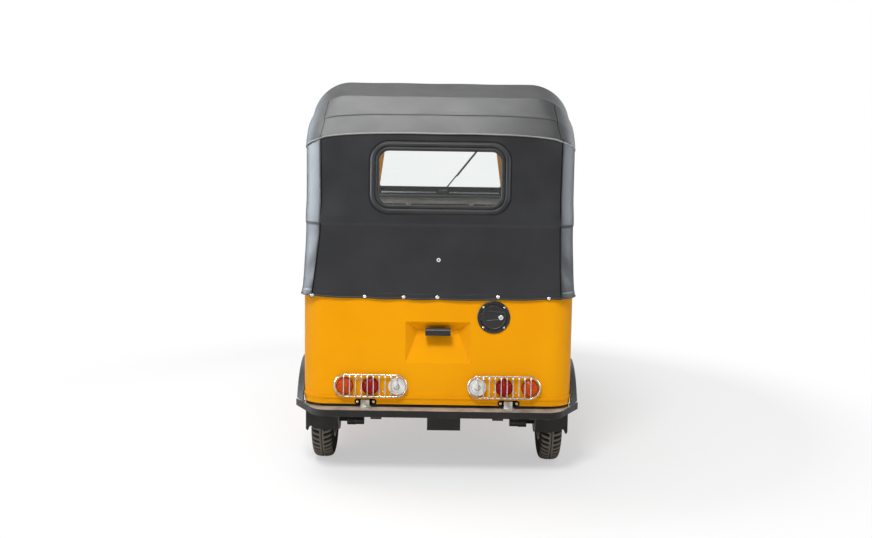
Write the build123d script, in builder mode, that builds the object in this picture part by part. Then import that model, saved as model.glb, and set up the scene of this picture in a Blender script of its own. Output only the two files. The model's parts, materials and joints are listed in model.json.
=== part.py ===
"""Three-wheeled passenger auto rickshaw with a soft hood, built as separate sub-parts.

Millimetres. +Y is forward, +X is the vehicle's right and +Z is up. The origin lies on the
ground below the middle of the vehicle's box.
"""
import os
from math import atan2, cos, degrees, hypot, radians, sin, sqrt, tan

from build123d import *

os.makedirs("parts", exist_ok=True)
pieces = {}

# Overall sizes
overall_length = 2640.0
overall_width = 1320.0
overall_height = 1800.0
rear_overhang = 378.0  # rear axle to the bumper's face
rear_track = 1076.0
seat_gap = 0.3  # left between two pieces that rest on each other

# Wheels
tyre_radius = 209.0
tyre_width = 104.0
bead_radius = 101.5
rim_width = 96.0
drum_radius = 78.0
shaft_radius = 14.0
mudguard_clearance = 53.0  # tyre crown to the outside of the front mudguard

# Steering
rake = 25.0  # degrees, the column leans back
fork_half_width = 95.0
column_radius = 20.0
handlebar_height = 1050.0
handlebar_half_width = 300.0

# Rear body
body_half_width = 614.0
body_bottom_z = 330.0
body_top_z = 832.0
body_wall = 20.0
body_corner = 110.0
bumper_reach = 62.0  # bumper's face behind the body
arch_clearance = 53.0  # tyre crown to the edge of the rear wheel arch

# Cabin floor and seats
floor_z = 335.0
floor_thickness = 17.0
rail_height = 70.0
rail_width = 50.0
rail_inner_x = 255.0
bench_top_z = 620.0
bench_depth = 574.0
cushion_thickness = 120.0
backrest_rise = 510.0  # top of the backrest over the bench
cab_depth = 585.0  # leg shield to the partition
partition_top_z = 1186.0
driver_seat_z = 560.0
driver_seat_half = 225.0
driver_seat_depth = 290.0
driver_cushion_height = 95.0
driver_back_height = 290.0

# Front panels
shield_half_width = 448.0
shield_top_z = 825.0
cowl_bottom_z = 495.0
screen_rake = 16.5  # degrees, the windscreen leans back
screen_height = 530.0
brow_drop = 82.0  # roof's top over the cowl and the windscreen

# Hood
cloth = 8.0
hem_z = 812.0
bow_radius = 14.0

# Derived positions
rear_y = -overall_length / 2
mudguard_radius = tyre_radius + mudguard_clearance
front_axle_y = overall_length / 2 - mudguard_radius
wheelbase = overall_length - mudguard_radius - rear_overhang
rear_axle_y = front_axle_y - wheelbase
axle_z = tyre_radius
body_rear_y = rear_y + bumper_reach
arch_radius = tyre_radius + arch_clearance
quarter_front_y = rear_axle_y + arch_radius + 43.0
bench_front_y = quarter_front_y + 25.0
bench_rear_y = bench_front_y - bench_depth
shield_y = front_axle_y - mudguard_radius - 61.0  # front face of the leg shield
pillar_y = shield_y - cab_depth  # the sides are parallel behind this line and draw in before it
cowl_top_z = overall_height - brow_drop - screen_height
rail_top_z = floor_z - floor_thickness
rail_bottom_z = rail_top_z - rail_height
rail_outer_x = rail_inner_x + rail_width
inner_half_width = body_half_width - body_wall


def block(x_span, y_span, z_span, mode=Mode.ADD):
    """Adds or cuts a box given by its limits along each axis."""
    middle = tuple((low + high) / 2 for low, high in (x_span, y_span, z_span))
    with Locations(middle):
        Box(*(high - low for low, high in (x_span, y_span, z_span)), mode=mode)


def wall_plan(half_width, back_y, front_y, corner, z):
    """Plan outline round the back of the vehicle at height z, its rear corners rounded."""
    with BuildSketch(Plane.XY.offset(z)) as plan:
        with BuildLine():
            FilletPolyline(
                (half_width, front_y),
                (half_width, back_y),
                (-half_width, back_y),
                (-half_width, front_y),
                radius=corner,
            )
            Line((-half_width, front_y), (half_width, front_y))
        make_face()
    return plan.sketch


def hood_arch(y, half_width, top, corner_in, corner_down, bottom):
    """Cross-section of the hood at y: a flat top, arched corners and upright sides."""
    with BuildSketch(Plane.XZ.offset(-y)) as arch:
        with BuildLine():
            Line((-half_width, bottom), (-half_width, top - corner_down))
            TangentArc((corner_in - half_width, top), (-half_width, top - corner_down), tangent=(-1, 0))
            Line((corner_in - half_width, top), (half_width - corner_in, top))
            TangentArc((half_width - corner_in, top), (half_width, top - corner_down), tangent=(1, 0))
            Line((half_width, top - corner_down), (half_width, bottom))
            Line((half_width, bottom), (-half_width, bottom))
        make_face()
    return arch.sketch


def nose_plan(half_width, back_y, side_y, front_y, z):
    """Plan outline of the nose at height z: two straight sides joined by a front arc."""
    with BuildSketch(Plane.XY.offset(z)) as plan:
        with BuildLine():
            Line((-half_width, back_y), (-half_width, side_y))
            ThreePointArc((-half_width, side_y), (0, front_y), (half_width, side_y))
            Line((half_width, side_y), (half_width, back_y))
            Line((half_width, back_y), (-half_width, back_y))
        make_face()
    return plan.sketch


# Wheels: a pressed rim with its brake drum, and a tyre, at each corner
sump_left_x = -46.0
sump_right_x = 111.0
wheels = [
    # name, centre x, centre y, outward side, inner end of the drive shaft
    ("front", 0.0, front_axle_y, 1, None),
    ("rear_left", -rear_track / 2, rear_axle_y, -1, sump_left_x),
    ("rear_right", rear_track / 2, rear_axle_y, 1, sump_right_x),
]
bead_seat = bead_radius + seat_gap
tread_half = tyre_width / 2 - 9.0
tyre_skins = [
    # foot x, bulge x, bulge radius, tread edge x, tread edge radius, crown radius, mode
    (
        *(rim_width / 2 - 12.0, tyre_width / 2, tyre_radius - 51.0),
        *(tread_half, tyre_radius - 10.0, tyre_radius, Mode.ADD),
    ),
    (
        *(rim_width / 2 - 20.0, tyre_width / 2 - 9.0, tyre_radius - 60.0),
        *(tread_half - 9.0, tyre_radius - 22.0, tyre_radius - 13.0, Mode.SUBTRACT),
    ),
]
rim_half = rim_width / 2
flange_radius = bead_radius + 12.0
well_radius = bead_radius - 7.5
drum_inboard = 70.0
hub_bore = 8.3

for wheel, wheel_x, wheel_y, side, shaft_end in wheels:
    centre = (wheel_x, wheel_y, axle_z)
    axle = Axis(centre, (1, 0, 0))
    section = Plane(centre, x_dir=(side, 0, 0), z_dir=(0, -side, 0))
    facing = Plane(centre, x_dir=(0, 1, 0), z_dir=(side, 0, 0))

    with BuildPart() as tyre:
        with BuildSketch(section):
            for foot, bulge, bulge_at, edge, edge_at, crown, mode in tyre_skins:
                with BuildLine():
                    ThreePointArc((foot, bead_seat), (bulge, bulge_at), (edge, edge_at))
                    ThreePointArc((edge, edge_at), (0, crown), (-edge, edge_at))
                    ThreePointArc((-edge, edge_at), (-bulge, bulge_at), (-foot, bead_seat))
                    Line((-foot, bead_seat), (foot, bead_seat))
                make_face(mode=mode)
        revolve(axis=axle)
    pieces[f"{wheel}_tyre"] = tyre

    with BuildPart() as rim:
        with BuildSketch(section):
            with BuildLine():
                Polyline(
                    (-rim_half, flange_radius),
                    (4.0 - rim_half, flange_radius),
                    (4.0 - rim_half, bead_radius),
                    (-26.0, bead_radius),
                    (-20.0, well_radius),
                    (20.0, well_radius),
                    (26.0, bead_radius),
                    (rim_half - 4.0, bead_radius),
                    (rim_half - 4.0, flange_radius),
                    (rim_half, flange_radius),
                    (rim_half, bead_radius - 6.0),
                    (26.0, bead_radius - 6.0),
                    (20.0, well_radius - 6.0),
                    (-20.0, well_radius - 6.0),
                    (-26.0, bead_radius - 6.0),
                    (-rim_half, bead_radius - 6.0),
                    close=True,
                )
            make_face()
        revolve(axis=axle)
        with BuildSketch(facing.offset(10.0)):
            Circle(well_radius - 3.0)
        extrude(amount=8.0)
        with BuildSketch(facing.offset(18.0)):
            with PolarLocations(62.0, 5):
                Circle(10.0)
        extrude(amount=-8.0, mode=Mode.SUBTRACT)
        with BuildSketch(facing.offset(18.0)):
            Circle(34.0)
        extrude(amount=16.0)
        if shaft_end is None:
            with BuildSketch(facing.offset(-38.0)):
                Circle(drum_radius)
            extrude(amount=48.0)
            with BuildSketch(facing.offset(-38.0)):
                Circle(hub_bore)
            extrude(amount=72.0, mode=Mode.SUBTRACT)
        else:
            with BuildSketch(facing.offset(-drum_inboard)):
                Circle(drum_radius)
            extrude(amount=drum_inboard + 10.0)
            shaft_length = abs(wheel_x - shaft_end) - drum_inboard - 0.5
            with BuildSketch(facing.offset(-drum_inboard - shaft_length)):
                Circle(shaft_radius)
            extrude(amount=shaft_length)
    pieces[f"{wheel}_rim"] = rim

# Steering: the fork's local frame has its z along the column and its origin on the axle
lean = radians(rake)
steer = Plane(
    (0, front_axle_y, axle_z), x_dir=(1, 0, 0), z_dir=(0, -sin(lean), cos(lean))
)
crown_start = mudguard_radius + 38.0
crown_end = crown_start + 38.0
column_end = (handlebar_height - axle_z) / cos(lean) - 22.0
bar_level = column_end + 22.0
guard_half_width = tyre_width / 2 + 14.0

with BuildPart() as front_fork:
    for leg_side in (-1, 1):
        with BuildSketch(steer.offset(-26.0)):
            with Locations((leg_side * fork_half_width, 0)):
                Circle(24.0)
        extrude(amount=170.0)
        with BuildSketch(steer.offset(144.0)):
            with Locations((leg_side * fork_half_width, 0)):
                Circle(18.0)
        extrude(amount=crown_start - 144.0)
    with BuildSketch(steer.offset(crown_start)):
        RectangleRounded(2 * fork_half_width + 52.0, 56.0, 20.0)
    extrude(amount=crown_end - crown_start)
    with BuildSketch(steer.offset(crown_end)):
        Circle(column_radius)
    extrude(amount=column_end - crown_end)
    with BuildSketch(Plane((-fork_half_width, front_axle_y, axle_z), x_dir=(0, 1, 0), z_dir=(1, 0, 0))):
        Circle(8.0)
    extrude(amount=2 * fork_half_width)
pieces["front_fork"] = front_fork

guard_start = radians(-8.0)
with BuildPart() as front_mudguard:
    with BuildSketch(
        Plane(
            (0, front_axle_y, axle_z), x_dir=(1, 0, 0), z_dir=(0, -sin(guard_start), cos(guard_start))
        )
    ):
        with BuildLine():
            Polyline(
                (-guard_half_width, tyre_radius + 6.0),
                (-guard_half_width, mudguard_radius - 22.0),
                (22.0 - guard_half_width, mudguard_radius),
                (guard_half_width - 22.0, mudguard_radius),
                (guard_half_width, mudguard_radius - 22.0),
                (guard_half_width, tyre_radius + 6.0),
                (guard_half_width - 4.0, tyre_radius + 6.0),
                (guard_half_width - 4.0, mudguard_radius - 24.0),
                (guard_half_width - 24.0, mudguard_radius - 4.0),
                (24.0 - guard_half_width, mudguard_radius - 4.0),
                (4.0 - guard_half_width, mudguard_radius - 24.0),
                (4.0 - guard_half_width, tyre_radius + 6.0),
                close=True,
            )
        make_face()
    revolve(axis=Axis((0, front_axle_y, axle_z), (1, 0, 0)), revolution_arc=183.0)
    stay_length = fork_half_width - 18.0 - seat_gap - guard_half_width
    for stay_side in (-1, 1):
        stay_foot = steer.from_local_coords((stay_side * (guard_half_width - 2.0), 0, tyre_radius + 22.0))
        with BuildSketch(Plane(stay_foot, x_dir=(0, 1, 0), z_dir=(stay_side, 0, 0))):
            Circle(9.0)
        extrude(amount=stay_length + 2.0)
pieces["front_mudguard"] = front_mudguard

with BuildPart() as handlebar:
    with BuildLine() as bar_line:
        FilletPolyline(
            *(
                steer.from_local_coords((u, v, bar_level))
                for u, v in (
                    (-handlebar_half_width, -70.0),
                    (-handlebar_half_width / 2, 0.0),
                    (handlebar_half_width / 2, 0.0),
                    (handlebar_half_width, -70.0),
                )
            ),
            radius=60.0,
        )
    with BuildSketch(Plane(bar_line.line @ 0, z_dir=bar_line.line % 0)):
        Circle(12.5)
    sweep(path=bar_line.line)
    with BuildSketch(steer.offset(column_end)):
        RectangleRounded(90.0, 54.0, 12.0)
    extrude(amount=38.0)
    cover_profile = [(-48.0, 38.0), (62.0, 38.0), (62.0, 62.0), (28.0, 104.0), (-48.0, 66.0)]
    with BuildSketch(
        Plane(
            steer.from_local_coords((-112.0, 0, column_end)),
            x_dir=steer.y_dir,
            z_dir=(1, 0, 0),
        )
    ):
        with BuildLine():
            Polyline(*cover_profile, close=True)
        make_face()
    extrude(amount=224.0)
pieces["handlebar"] = handlebar

# Chassis: two rails, cross members, and the neck that carries the steering head
head_start = crown_end + 2.0
head_length = 190.0
head_middle = steer.from_local_coords((0, 0, head_start + head_length / 2))
neck_z = (rail_top_z + rail_bottom_z) / 2
rail_front_y = shield_y - 25.0
rail_rear_y = body_rear_y + body_wall + 26.0
member_half = 22.0
cross_members = [
    # centre y
    rail_front_y - 25.0,
    pillar_y - 90.0,
    rail_rear_y + 22.0,
]
with BuildPart() as chassis_frame:
    for rail_side in (-1, 1):
        block(
            sorted((rail_side * rail_inner_x, rail_side * rail_outer_x)),
            (rail_rear_y, rail_front_y),
            (rail_bottom_z, rail_top_z),
        )
    for member_y in cross_members:
        block(
            (-rail_inner_x, rail_inner_x),
            (member_y - member_half, member_y + member_half),
            (rail_bottom_z + 10.0, rail_top_z - 4.0),
        )
    with BuildLine() as neck_line:
        FilletPolyline(
            (0, rail_front_y - 25.0, neck_z),
            (0, shield_y + 35.0, neck_z),
            (0, head_middle.Y, head_middle.Z),
            radius=60.0,
        )
    with BuildSketch(Plane(neck_line.line @ 0, z_dir=neck_line.line % 0)):
        Circle(25.0)
    sweep(path=neck_line.line)
    with BuildSketch(steer.offset(head_start)):
        Circle(column_radius + 12.0)
    extrude(amount=head_length)
    with BuildSketch(steer.offset(head_start - 60.0)):
        Circle(column_radius + 0.4)
    extrude(amount=head_length + 120.0, mode=Mode.SUBTRACT)
pieces["chassis_frame"] = chassis_frame

# Floor with its side sills, which draw in towards the leg shield
with BuildPart() as floor_pan:
    with BuildSketch(Plane.XY.offset(rail_top_z + seat_gap)):
        with BuildLine():
            Polyline(
                (-inner_half_width, bench_front_y),
                (-inner_half_width, pillar_y),
                (-shield_half_width, shield_y),
                (shield_half_width, shield_y),
                (inner_half_width, pillar_y),
                (inner_half_width, bench_front_y),
                close=True,
            )
        make_face()
    extrude(amount=floor_thickness - seat_gap)
    for sill_side in (-1, 1):
        with BuildSketch(Plane.XY.offset(body_bottom_z - 42.0)):
            with BuildLine():
                Polyline(
                    (sill_side * inner_half_width, quarter_front_y + seat_gap),
                    (sill_side * body_half_width, quarter_front_y + seat_gap),
                    (sill_side * body_half_width, pillar_y),
                    (sill_side * (shield_half_width + body_wall), shield_y),
                    (sill_side * shield_half_width, shield_y),
                    (sill_side * inner_half_width, pillar_y),
                    close=True,
                )
            make_face()
        extrude(amount=102.0)
pieces["floor_pan"] = floor_pan

# Rear body: a wall round the back with wheel arches, a plate recess and a filler hole
bead_z = 364.0
recess_half_width = 147.0
recess_low_z = 521.0
recess_high_z = 712.0
recess_depth = 45.0
filler_x = 250.0
filler_z = 737.0
filler_radius = 74.0
with BuildPart() as rear_body:
    extrude(
        wall_plan(body_half_width, body_rear_y, quarter_front_y, body_corner, body_bottom_z),
        amount=body_top_z - body_bottom_z,
    )
    extrude(
        wall_plan(body_half_width + 4.0, body_rear_y - 4.0, quarter_front_y, body_corner + 4.0, bead_z - 7.0),
        amount=14.0,
    )
    extrude(
        wall_plan(
            inner_half_width,
            body_rear_y + body_wall,
            quarter_front_y + 50.0,
            body_corner - body_wall,
            body_bottom_z,
        ),
        amount=body_top_z - body_bottom_z,
        mode=Mode.SUBTRACT,
    )
    block(
        (-recess_half_width - 14.0, recess_half_width + 14.0),
        (body_rear_y + body_wall / 2, body_rear_y + recess_depth + 14.0),
        (recess_low_z - 14.0, recess_high_z + 14.0),
    )
    with BuildSketch(Plane.XZ.offset(-body_rear_y), mode=Mode.PRIVATE) as recess_mouth:
        with Locations((0, (recess_low_z + recess_high_z) / 2)):
            Rectangle(2 * recess_half_width, recess_high_z - recess_low_z)
    with BuildSketch(Plane.XZ.offset(-body_rear_y - recess_depth), mode=Mode.PRIVATE) as recess_end:
        with Locations((0, recess_high_z - 50.0)):
            Rectangle(2 * recess_half_width - 104.0, 14.0)
    loft([recess_mouth.sketch, recess_end.sketch], ruled=True, mode=Mode.SUBTRACT)
    with BuildSketch(Plane.XZ.offset(-body_rear_y + 10.0)):
        with Locations((filler_x, filler_z)):
            Circle(filler_radius - 8.0)
    extrude(amount=-body_wall - 20.0, mode=Mode.SUBTRACT)
    with BuildSketch(Plane.YZ.offset(-body_half_width - 20.0)):
        with Locations((rear_axle_y, axle_z)):
            Circle(arch_radius)
    extrude(amount=2 * body_half_width + 40.0, mode=Mode.SUBTRACT)
pieces["rear_body"] = rear_body

with BuildPart() as wheel_arch_flares:
    with BuildSketch(Plane.YZ.offset(body_half_width + seat_gap)):
        with Locations((rear_axle_y, axle_z)):
            Circle(arch_radius + 28.0)
            Circle(arch_radius, mode=Mode.SUBTRACT)
        with Locations((rear_axle_y, body_bottom_z - 2 * arch_radius)):
            Rectangle(4 * arch_radius, 4 * arch_radius, mode=Mode.SUBTRACT)
        with Locations((rear_axle_y, bead_z)):
            Rectangle(4 * arch_radius, 16.0, mode=Mode.SUBTRACT)
    extrude(amount=4.0)
    with BuildSketch(Plane.YZ.offset(body_half_width + 4.0 + seat_gap)):
        with Locations((rear_axle_y, axle_z)):
            Circle(arch_radius + 28.0)
            Circle(arch_radius, mode=Mode.SUBTRACT)
        with Locations((rear_axle_y, body_bottom_z - 2 * arch_radius)):
            Rectangle(4 * arch_radius, 4 * arch_radius, mode=Mode.SUBTRACT)
    extrude(amount=27.0, taper=20.0)
    mirror(about=Plane.YZ)
pieces["wheel_arch_flares"] = wheel_arch_flares

# Bench box over the engine, with wheelhouse walls and the panel behind the backrest
with BuildPart() as bench_box:
    block(
        (-inner_half_width + seat_gap, inner_half_width - seat_gap),
        (bench_rear_y, bench_front_y - seat_gap),
        (bench_top_z - body_wall, bench_top_z),
    )
    block(
        (-inner_half_width + seat_gap, inner_half_width - seat_gap),
        (bench_front_y - body_wall - seat_gap, bench_front_y - seat_gap),
        (rail_top_z + seat_gap, bench_top_z),
    )
    for wall_side in (-1, 1):
        wall_x = rear_track / 2 - tyre_width / 2 - 16.0
        block(
            sorted((wall_side * (wall_x - 10.0), wall_side * wall_x)),
            (bench_rear_y, bench_front_y - body_wall / 2),
            (body_bottom_z + 5.0, bench_top_z),
        )
    block(
        (60.0 - inner_half_width, inner_half_width - 60.0),
        (bench_rear_y, bench_rear_y + 8.0),
        (bench_top_z - body_wall, bench_top_z + backrest_rise - 30.0),
    )
    extrude(
        wall_plan(
            inner_half_width - seat_gap,
            body_rear_y + body_wall + seat_gap,
            bench_front_y + 50.0,
            body_corner - body_wall - seat_gap,
            0.0,
        ),
        amount=overall_height,
        mode=Mode.INTERSECT,
    )
pieces["bench_box"] = bench_box

with BuildPart() as bench_cushion:
    block(
        (38.0 - inner_half_width, inner_half_width - 38.0),
        (bench_rear_y + 8.0 + seat_gap, bench_front_y + 15.0),
        (bench_top_z + seat_gap, bench_top_z + cushion_thickness),
    )
    fillet(bench_cushion.faces().sort_by(Axis.Z)[-1].edges(), radius=24.0)
pieces["bench_cushion"] = bench_cushion

with BuildPart() as bench_backrest:
    block(
        (38.0 - inner_half_width, inner_half_width - 38.0),
        (bench_rear_y + 8.0 + seat_gap, bench_rear_y + 100.0),
        (bench_top_z + cushion_thickness + 2.0, bench_top_z + backrest_rise),
    )
    fillet(bench_backrest.faces().sort_by(Axis.Y)[-1].edges(), radius=24.0)
pieces["bench_backrest"] = bench_backrest

# Mud flaps hang below the rear corners, with a notch in the lower edge
flap_half_width = 75.0
flap_x = rear_track / 2 - 6.0
flap_y = rear_axle_y - tyre_radius - 21.0
flap_room = 6.0  # round the flap in the bumper's flanges
with BuildPart() as mud_flaps:
    with BuildSketch(Plane.XZ.offset(-flap_y)):
        with BuildLine():
            Polyline(
                (flap_x - flap_half_width, body_bottom_z - seat_gap),
                (flap_x - flap_half_width, 180.0),
                (flap_x - 20.0, 180.0),
                (flap_x, 196.0),
                (flap_x + 20.0, 180.0),
                (flap_x + flap_half_width, 180.0),
                (flap_x + flap_half_width, body_bottom_z - seat_gap),
                close=True,
            )
        make_face()
    extrude(amount=-5.0)
    block(
        (rail_outer_x + seat_gap, flap_x + flap_half_width),
        (flap_y + 5.0, flap_y + 11.0),
        (rail_top_z - 20.0, rail_top_z),
    )
    mirror(about=Plane.YZ)
pieces["mud_flaps"] = mud_flaps

# Rear bumper: a channel that follows the back and wraps forward at both ends
bumper_low_z = 284.0
bumper_high_z = 315.0
bumper_sheet = 4.0
bumper_wrap_y = rear_y + 215.0
bumper_corner_in = 115.0


def bumper_plan(inset):
    """Plan of the bumper's outer line moved inwards, closed far ahead of its ends."""
    half = overall_width / 2 - min(inset, 24.0)
    corner_half = overall_width / 2 - bumper_corner_in - inset * 0.5
    with BuildSketch(Plane.XY.offset(bumper_low_z)) as plan:
        with BuildLine():
            FilletPolyline(
                (half, bumper_wrap_y),
                (corner_half, rear_y + inset),
                (-corner_half, rear_y + inset),
                (-half, bumper_wrap_y),
                radius=90.0,
            )
            Line((-half, bumper_wrap_y), (half, bumper_wrap_y))
        make_face()
    return plan.sketch


tow_hole_radius = 10.0
with BuildPart() as rear_bumper:
    extrude(bumper_plan(0.0), amount=bumper_high_z - bumper_low_z)
    with BuildSketch(Plane.XY.offset(bumper_low_z + bumper_sheet)):
        add(bumper_plan(bumper_sheet).moved(Location((0, 0, -bumper_low_z))))
    extrude(amount=bumper_high_z - bumper_low_z - 2 * bumper_sheet, mode=Mode.SUBTRACT)
    extrude(bumper_plan(50.0), amount=bumper_sheet, mode=Mode.SUBTRACT)
    with BuildSketch(Plane.XY.offset(bumper_high_z - bumper_sheet)):
        add(bumper_plan(72.0).moved(Location((0, 0, -bumper_low_z))))
    extrude(amount=bumper_sheet, mode=Mode.SUBTRACT)
    with BuildSketch(Plane.XY.offset(bumper_low_z)):
        with Locations((0, rear_y + 27.0)):
            Circle(tow_hole_radius)
    extrude(amount=bumper_sheet, mode=Mode.SUBTRACT)
    for flap_side in (-1, 1):
        block(
            sorted((flap_side * (flap_x - flap_half_width), flap_side * (flap_x + flap_half_width + flap_room))),
            (flap_y - flap_room, bumper_wrap_y + 1.0),
            (bumper_low_z - 1.0, bumper_high_z + 1.0),
            mode=Mode.SUBTRACT,
        )
pieces["rear_bumper"] = rear_bumper

bracket_x = 325.0
with BuildPart() as bumper_brackets:
    block(
        (bracket_x - 50.0, bracket_x + 50.0),
        (body_rear_y - seat_gap - 4.0, body_rear_y - seat_gap),
        (body_bottom_z + 4.0, bead_z - 10.0),
    )
    block(
        (bracket_x - 22.0, bracket_x + 22.0),
        (body_rear_y - seat_gap - 9.0, body_rear_y - seat_gap - 4.0),
        (bumper_high_z + seat_gap, bead_z - 16.0),
    )
    block(
        (bracket_x - 22.0, bracket_x + 22.0),
        (rear_y + 16.0, body_rear_y - seat_gap - 4.0),
        (bumper_high_z + seat_gap, bumper_high_z + seat_gap + 5.0),
    )
    mirror(about=Plane.YZ)
pieces["bumper_brackets"] = bumper_brackets

# Rear lamps: three round lenses a side behind an oval wire guard
lamp_z = 416.0
lamp_radius = 39.0
lamps = [
    # name, distance from the middle
    ("clear", 183.0),
    ("red", 303.0),
    ("amber", 419.0),
]
lamp_face_y = body_rear_y - seat_gap
for lamp, lamp_x in lamps:
    with BuildPart() as lens:
        with BuildSketch(Plane.XZ.offset(-lamp_face_y)):
            with Locations((-lamp_x, lamp_z), (lamp_x, lamp_z)):
                Circle(lamp_radius)
        extrude(amount=20.0)
        fillet(lens.faces().sort_by(Axis.Y)[:2].edges(), radius=9.0)
    pieces[f"{lamp}_lamps"] = lens

guard_x = 302.0
guard_length = 328.0
guard_height = 104.0
guard_wire = 6.0
guard_start_y = lamp_face_y - 24.0
with BuildPart() as lamp_guards:
    with BuildSketch(Plane.XZ.offset(-guard_start_y)):
        with Locations((guard_x, lamp_z)):
            SlotOverall(guard_length, guard_height)
            SlotOverall(guard_length - 2 * guard_wire, guard_height - 2 * guard_wire, mode=Mode.SUBTRACT)
            with GridLocations(26.8, 1.0, 10, 1):
                Rectangle(4.0, guard_height - guard_wire)
    extrude(amount=guard_wire)
    with BuildSketch(Plane.XZ.offset(-lamp_face_y)):
        with Locations(
            (guard_x - (guard_length - guard_wire) / 2, lamp_z),
            (guard_x + (guard_length - guard_wire) / 2, lamp_z),
            (guard_x, lamp_z + (guard_height - guard_wire) / 2),
        ):
            Circle(guard_wire / 2 - 0.6)
    extrude(amount=24.0)
    mirror(about=Plane.YZ)
pieces["lamp_guards"] = lamp_guards

with BuildPart() as plate_lamp:
    lamp_back_y = body_rear_y + recess_depth - seat_gap
    block((-40.0, 40.0), (body_rear_y + 18.0, lamp_back_y), (recess_high_z - 56.0, recess_high_z - 45.0))
    with BuildSketch(Plane.YZ.offset(-57.0)):
        with BuildLine():
            Line((body_rear_y + 18.0, recess_high_z - 61.0), (body_rear_y - 16.0, recess_high_z - 61.0))
            Line((body_rear_y - 16.0, recess_high_z - 61.0), (body_rear_y - 16.0, recess_high_z - 44.0))
            ThreePointArc(
                (body_rear_y - 16.0, recess_high_z - 44.0),
                (body_rear_y - 4.0, recess_high_z - 28.0),
                (body_rear_y + 18.0, recess_high_z - 38.0),
            )
            Line((body_rear_y + 18.0, recess_high_z - 38.0), (body_rear_y + 18.0, recess_high_z - 61.0))
        make_face()
    extrude(amount=114.0)
pieces["plate_lamp"] = plate_lamp

# Fuel filler: a cup with a bezel in the rear wall, and a lid hinged at its left edge
filler_bore = 24.0
lid_radius = 56.0
lid_outer_y = body_rear_y - seat_gap - 9.0
lid_hinge_x = filler_x - lid_radius - 4.0
with BuildPart() as filler_cup:
    with BuildSketch(Plane.XZ.offset(-(body_rear_y - seat_gap))):
        with Locations((filler_x, filler_z)):
            Circle(filler_radius)
    extrude(amount=5.0)
    with BuildSketch(Plane.XZ.offset(-(body_rear_y - seat_gap))):
        with Locations((filler_x, filler_z)):
            Circle(filler_radius - 8.5)
    extrude(amount=-44.0)
    with BuildSketch(Plane.XZ.offset(-(body_rear_y - seat_gap - 5.0))):
        with Locations((filler_x, filler_z)):
            Circle(lid_radius - 6.0)
    extrude(amount=-12.0, mode=Mode.SUBTRACT)
    with BuildSketch(Plane.XZ.offset(-(body_rear_y - seat_gap + 7.0))):
        with Locations((filler_x, filler_z)):
            Circle(filler_bore)
    extrude(amount=-30.0, mode=Mode.SUBTRACT)
pieces["filler_cup"] = filler_cup

with BuildPart() as filler_lid:
    with BuildSketch(Plane.XZ.offset(-(body_rear_y - seat_gap - 5.0 - seat_gap))):
        with Locations((filler_x, filler_z)):
            Circle(lid_radius)
    extrude(amount=7.0)
    with BuildSketch(Plane.XZ.offset(-(body_rear_y - seat_gap - 5.0 - seat_gap - 7.0))):
        with Locations((filler_x - 14.0, filler_z + 12.0), (filler_x - 14.0, filler_z - 12.0)):
            Rectangle(60.0, 5.0)
        with Locations((filler_x + 32.0, filler_z)):
            Circle(11.0)
    extrude(amount=3.0)
    with BuildSketch(Plane.XY.offset(filler_z - 16.0)):
        with Locations((lid_hinge_x, body_rear_y - seat_gap - 5.0 - seat_gap - 3.5)):
            Circle(3.5)
    extrude(amount=32.0)
    block(
        (lid_hinge_x, filler_x - lid_radius + 12.0),
        (body_rear_y - seat_gap - 5.0 - seat_gap - 7.0, body_rear_y - seat_gap - 5.0 - seat_gap),
        (filler_z - 16.0, filler_z + 16.0),
    )
pieces["filler_lid"] = filler_lid

# Power unit: one plain block with its sump, engine lugs on the rails, and the exhaust
engine_rear_y = rail_rear_y + 50.0
engine_front_y = bench_front_y - body_wall - 70.0
with BuildPart() as engine_block:
    block((-200.0, 200.0), (engine_rear_y, engine_front_y), (260.0, bench_top_z - 60.0))
    block(
        (sump_left_x, sump_right_x),
        (rear_axle_y - 140.0, rear_axle_y + 80.0),
        (axle_z - 44.0, 280.0),
    )
    block(
        (seat_gap - rail_inner_x, rail_inner_x - seat_gap),
        (rear_axle_y + 60.0, rear_axle_y + 120.0),
        (rail_bottom_z + 24.0, rail_top_z - 10.0),
    )
pieces["engine_block"] = engine_block

with BuildPart() as exhaust:
    muffler_x = -150.0
    muffler_z = rail_top_z - 80.0
    exhaust_bay = cross_members[1] - member_half - bench_front_y
    muffler_y = bench_front_y + 0.2 * exhaust_bay
    muffler_length = 0.615 * exhaust_bay
    with BuildSketch(Plane.XZ.offset(-muffler_y)):
        with Locations((muffler_x, muffler_z)):
            Circle(46.0)
    extrude(amount=-muffler_length)
    with BuildSketch(Plane.XZ.offset(-(engine_front_y + seat_gap))):
        with Locations((muffler_x, muffler_z + 30.0)):
            Circle(15.0)
    extrude(amount=engine_front_y - muffler_y - 20.0)
    for strap_y in (muffler_y + 0.18 * muffler_length, muffler_y + 0.82 * muffler_length):
        block(
            (muffler_x - 15.0, muffler_x + 15.0),
            (strap_y - 4.0, strap_y + 4.0),
            (muffler_z, rail_top_z),
        )
pieces["exhaust"] = exhaust

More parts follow.
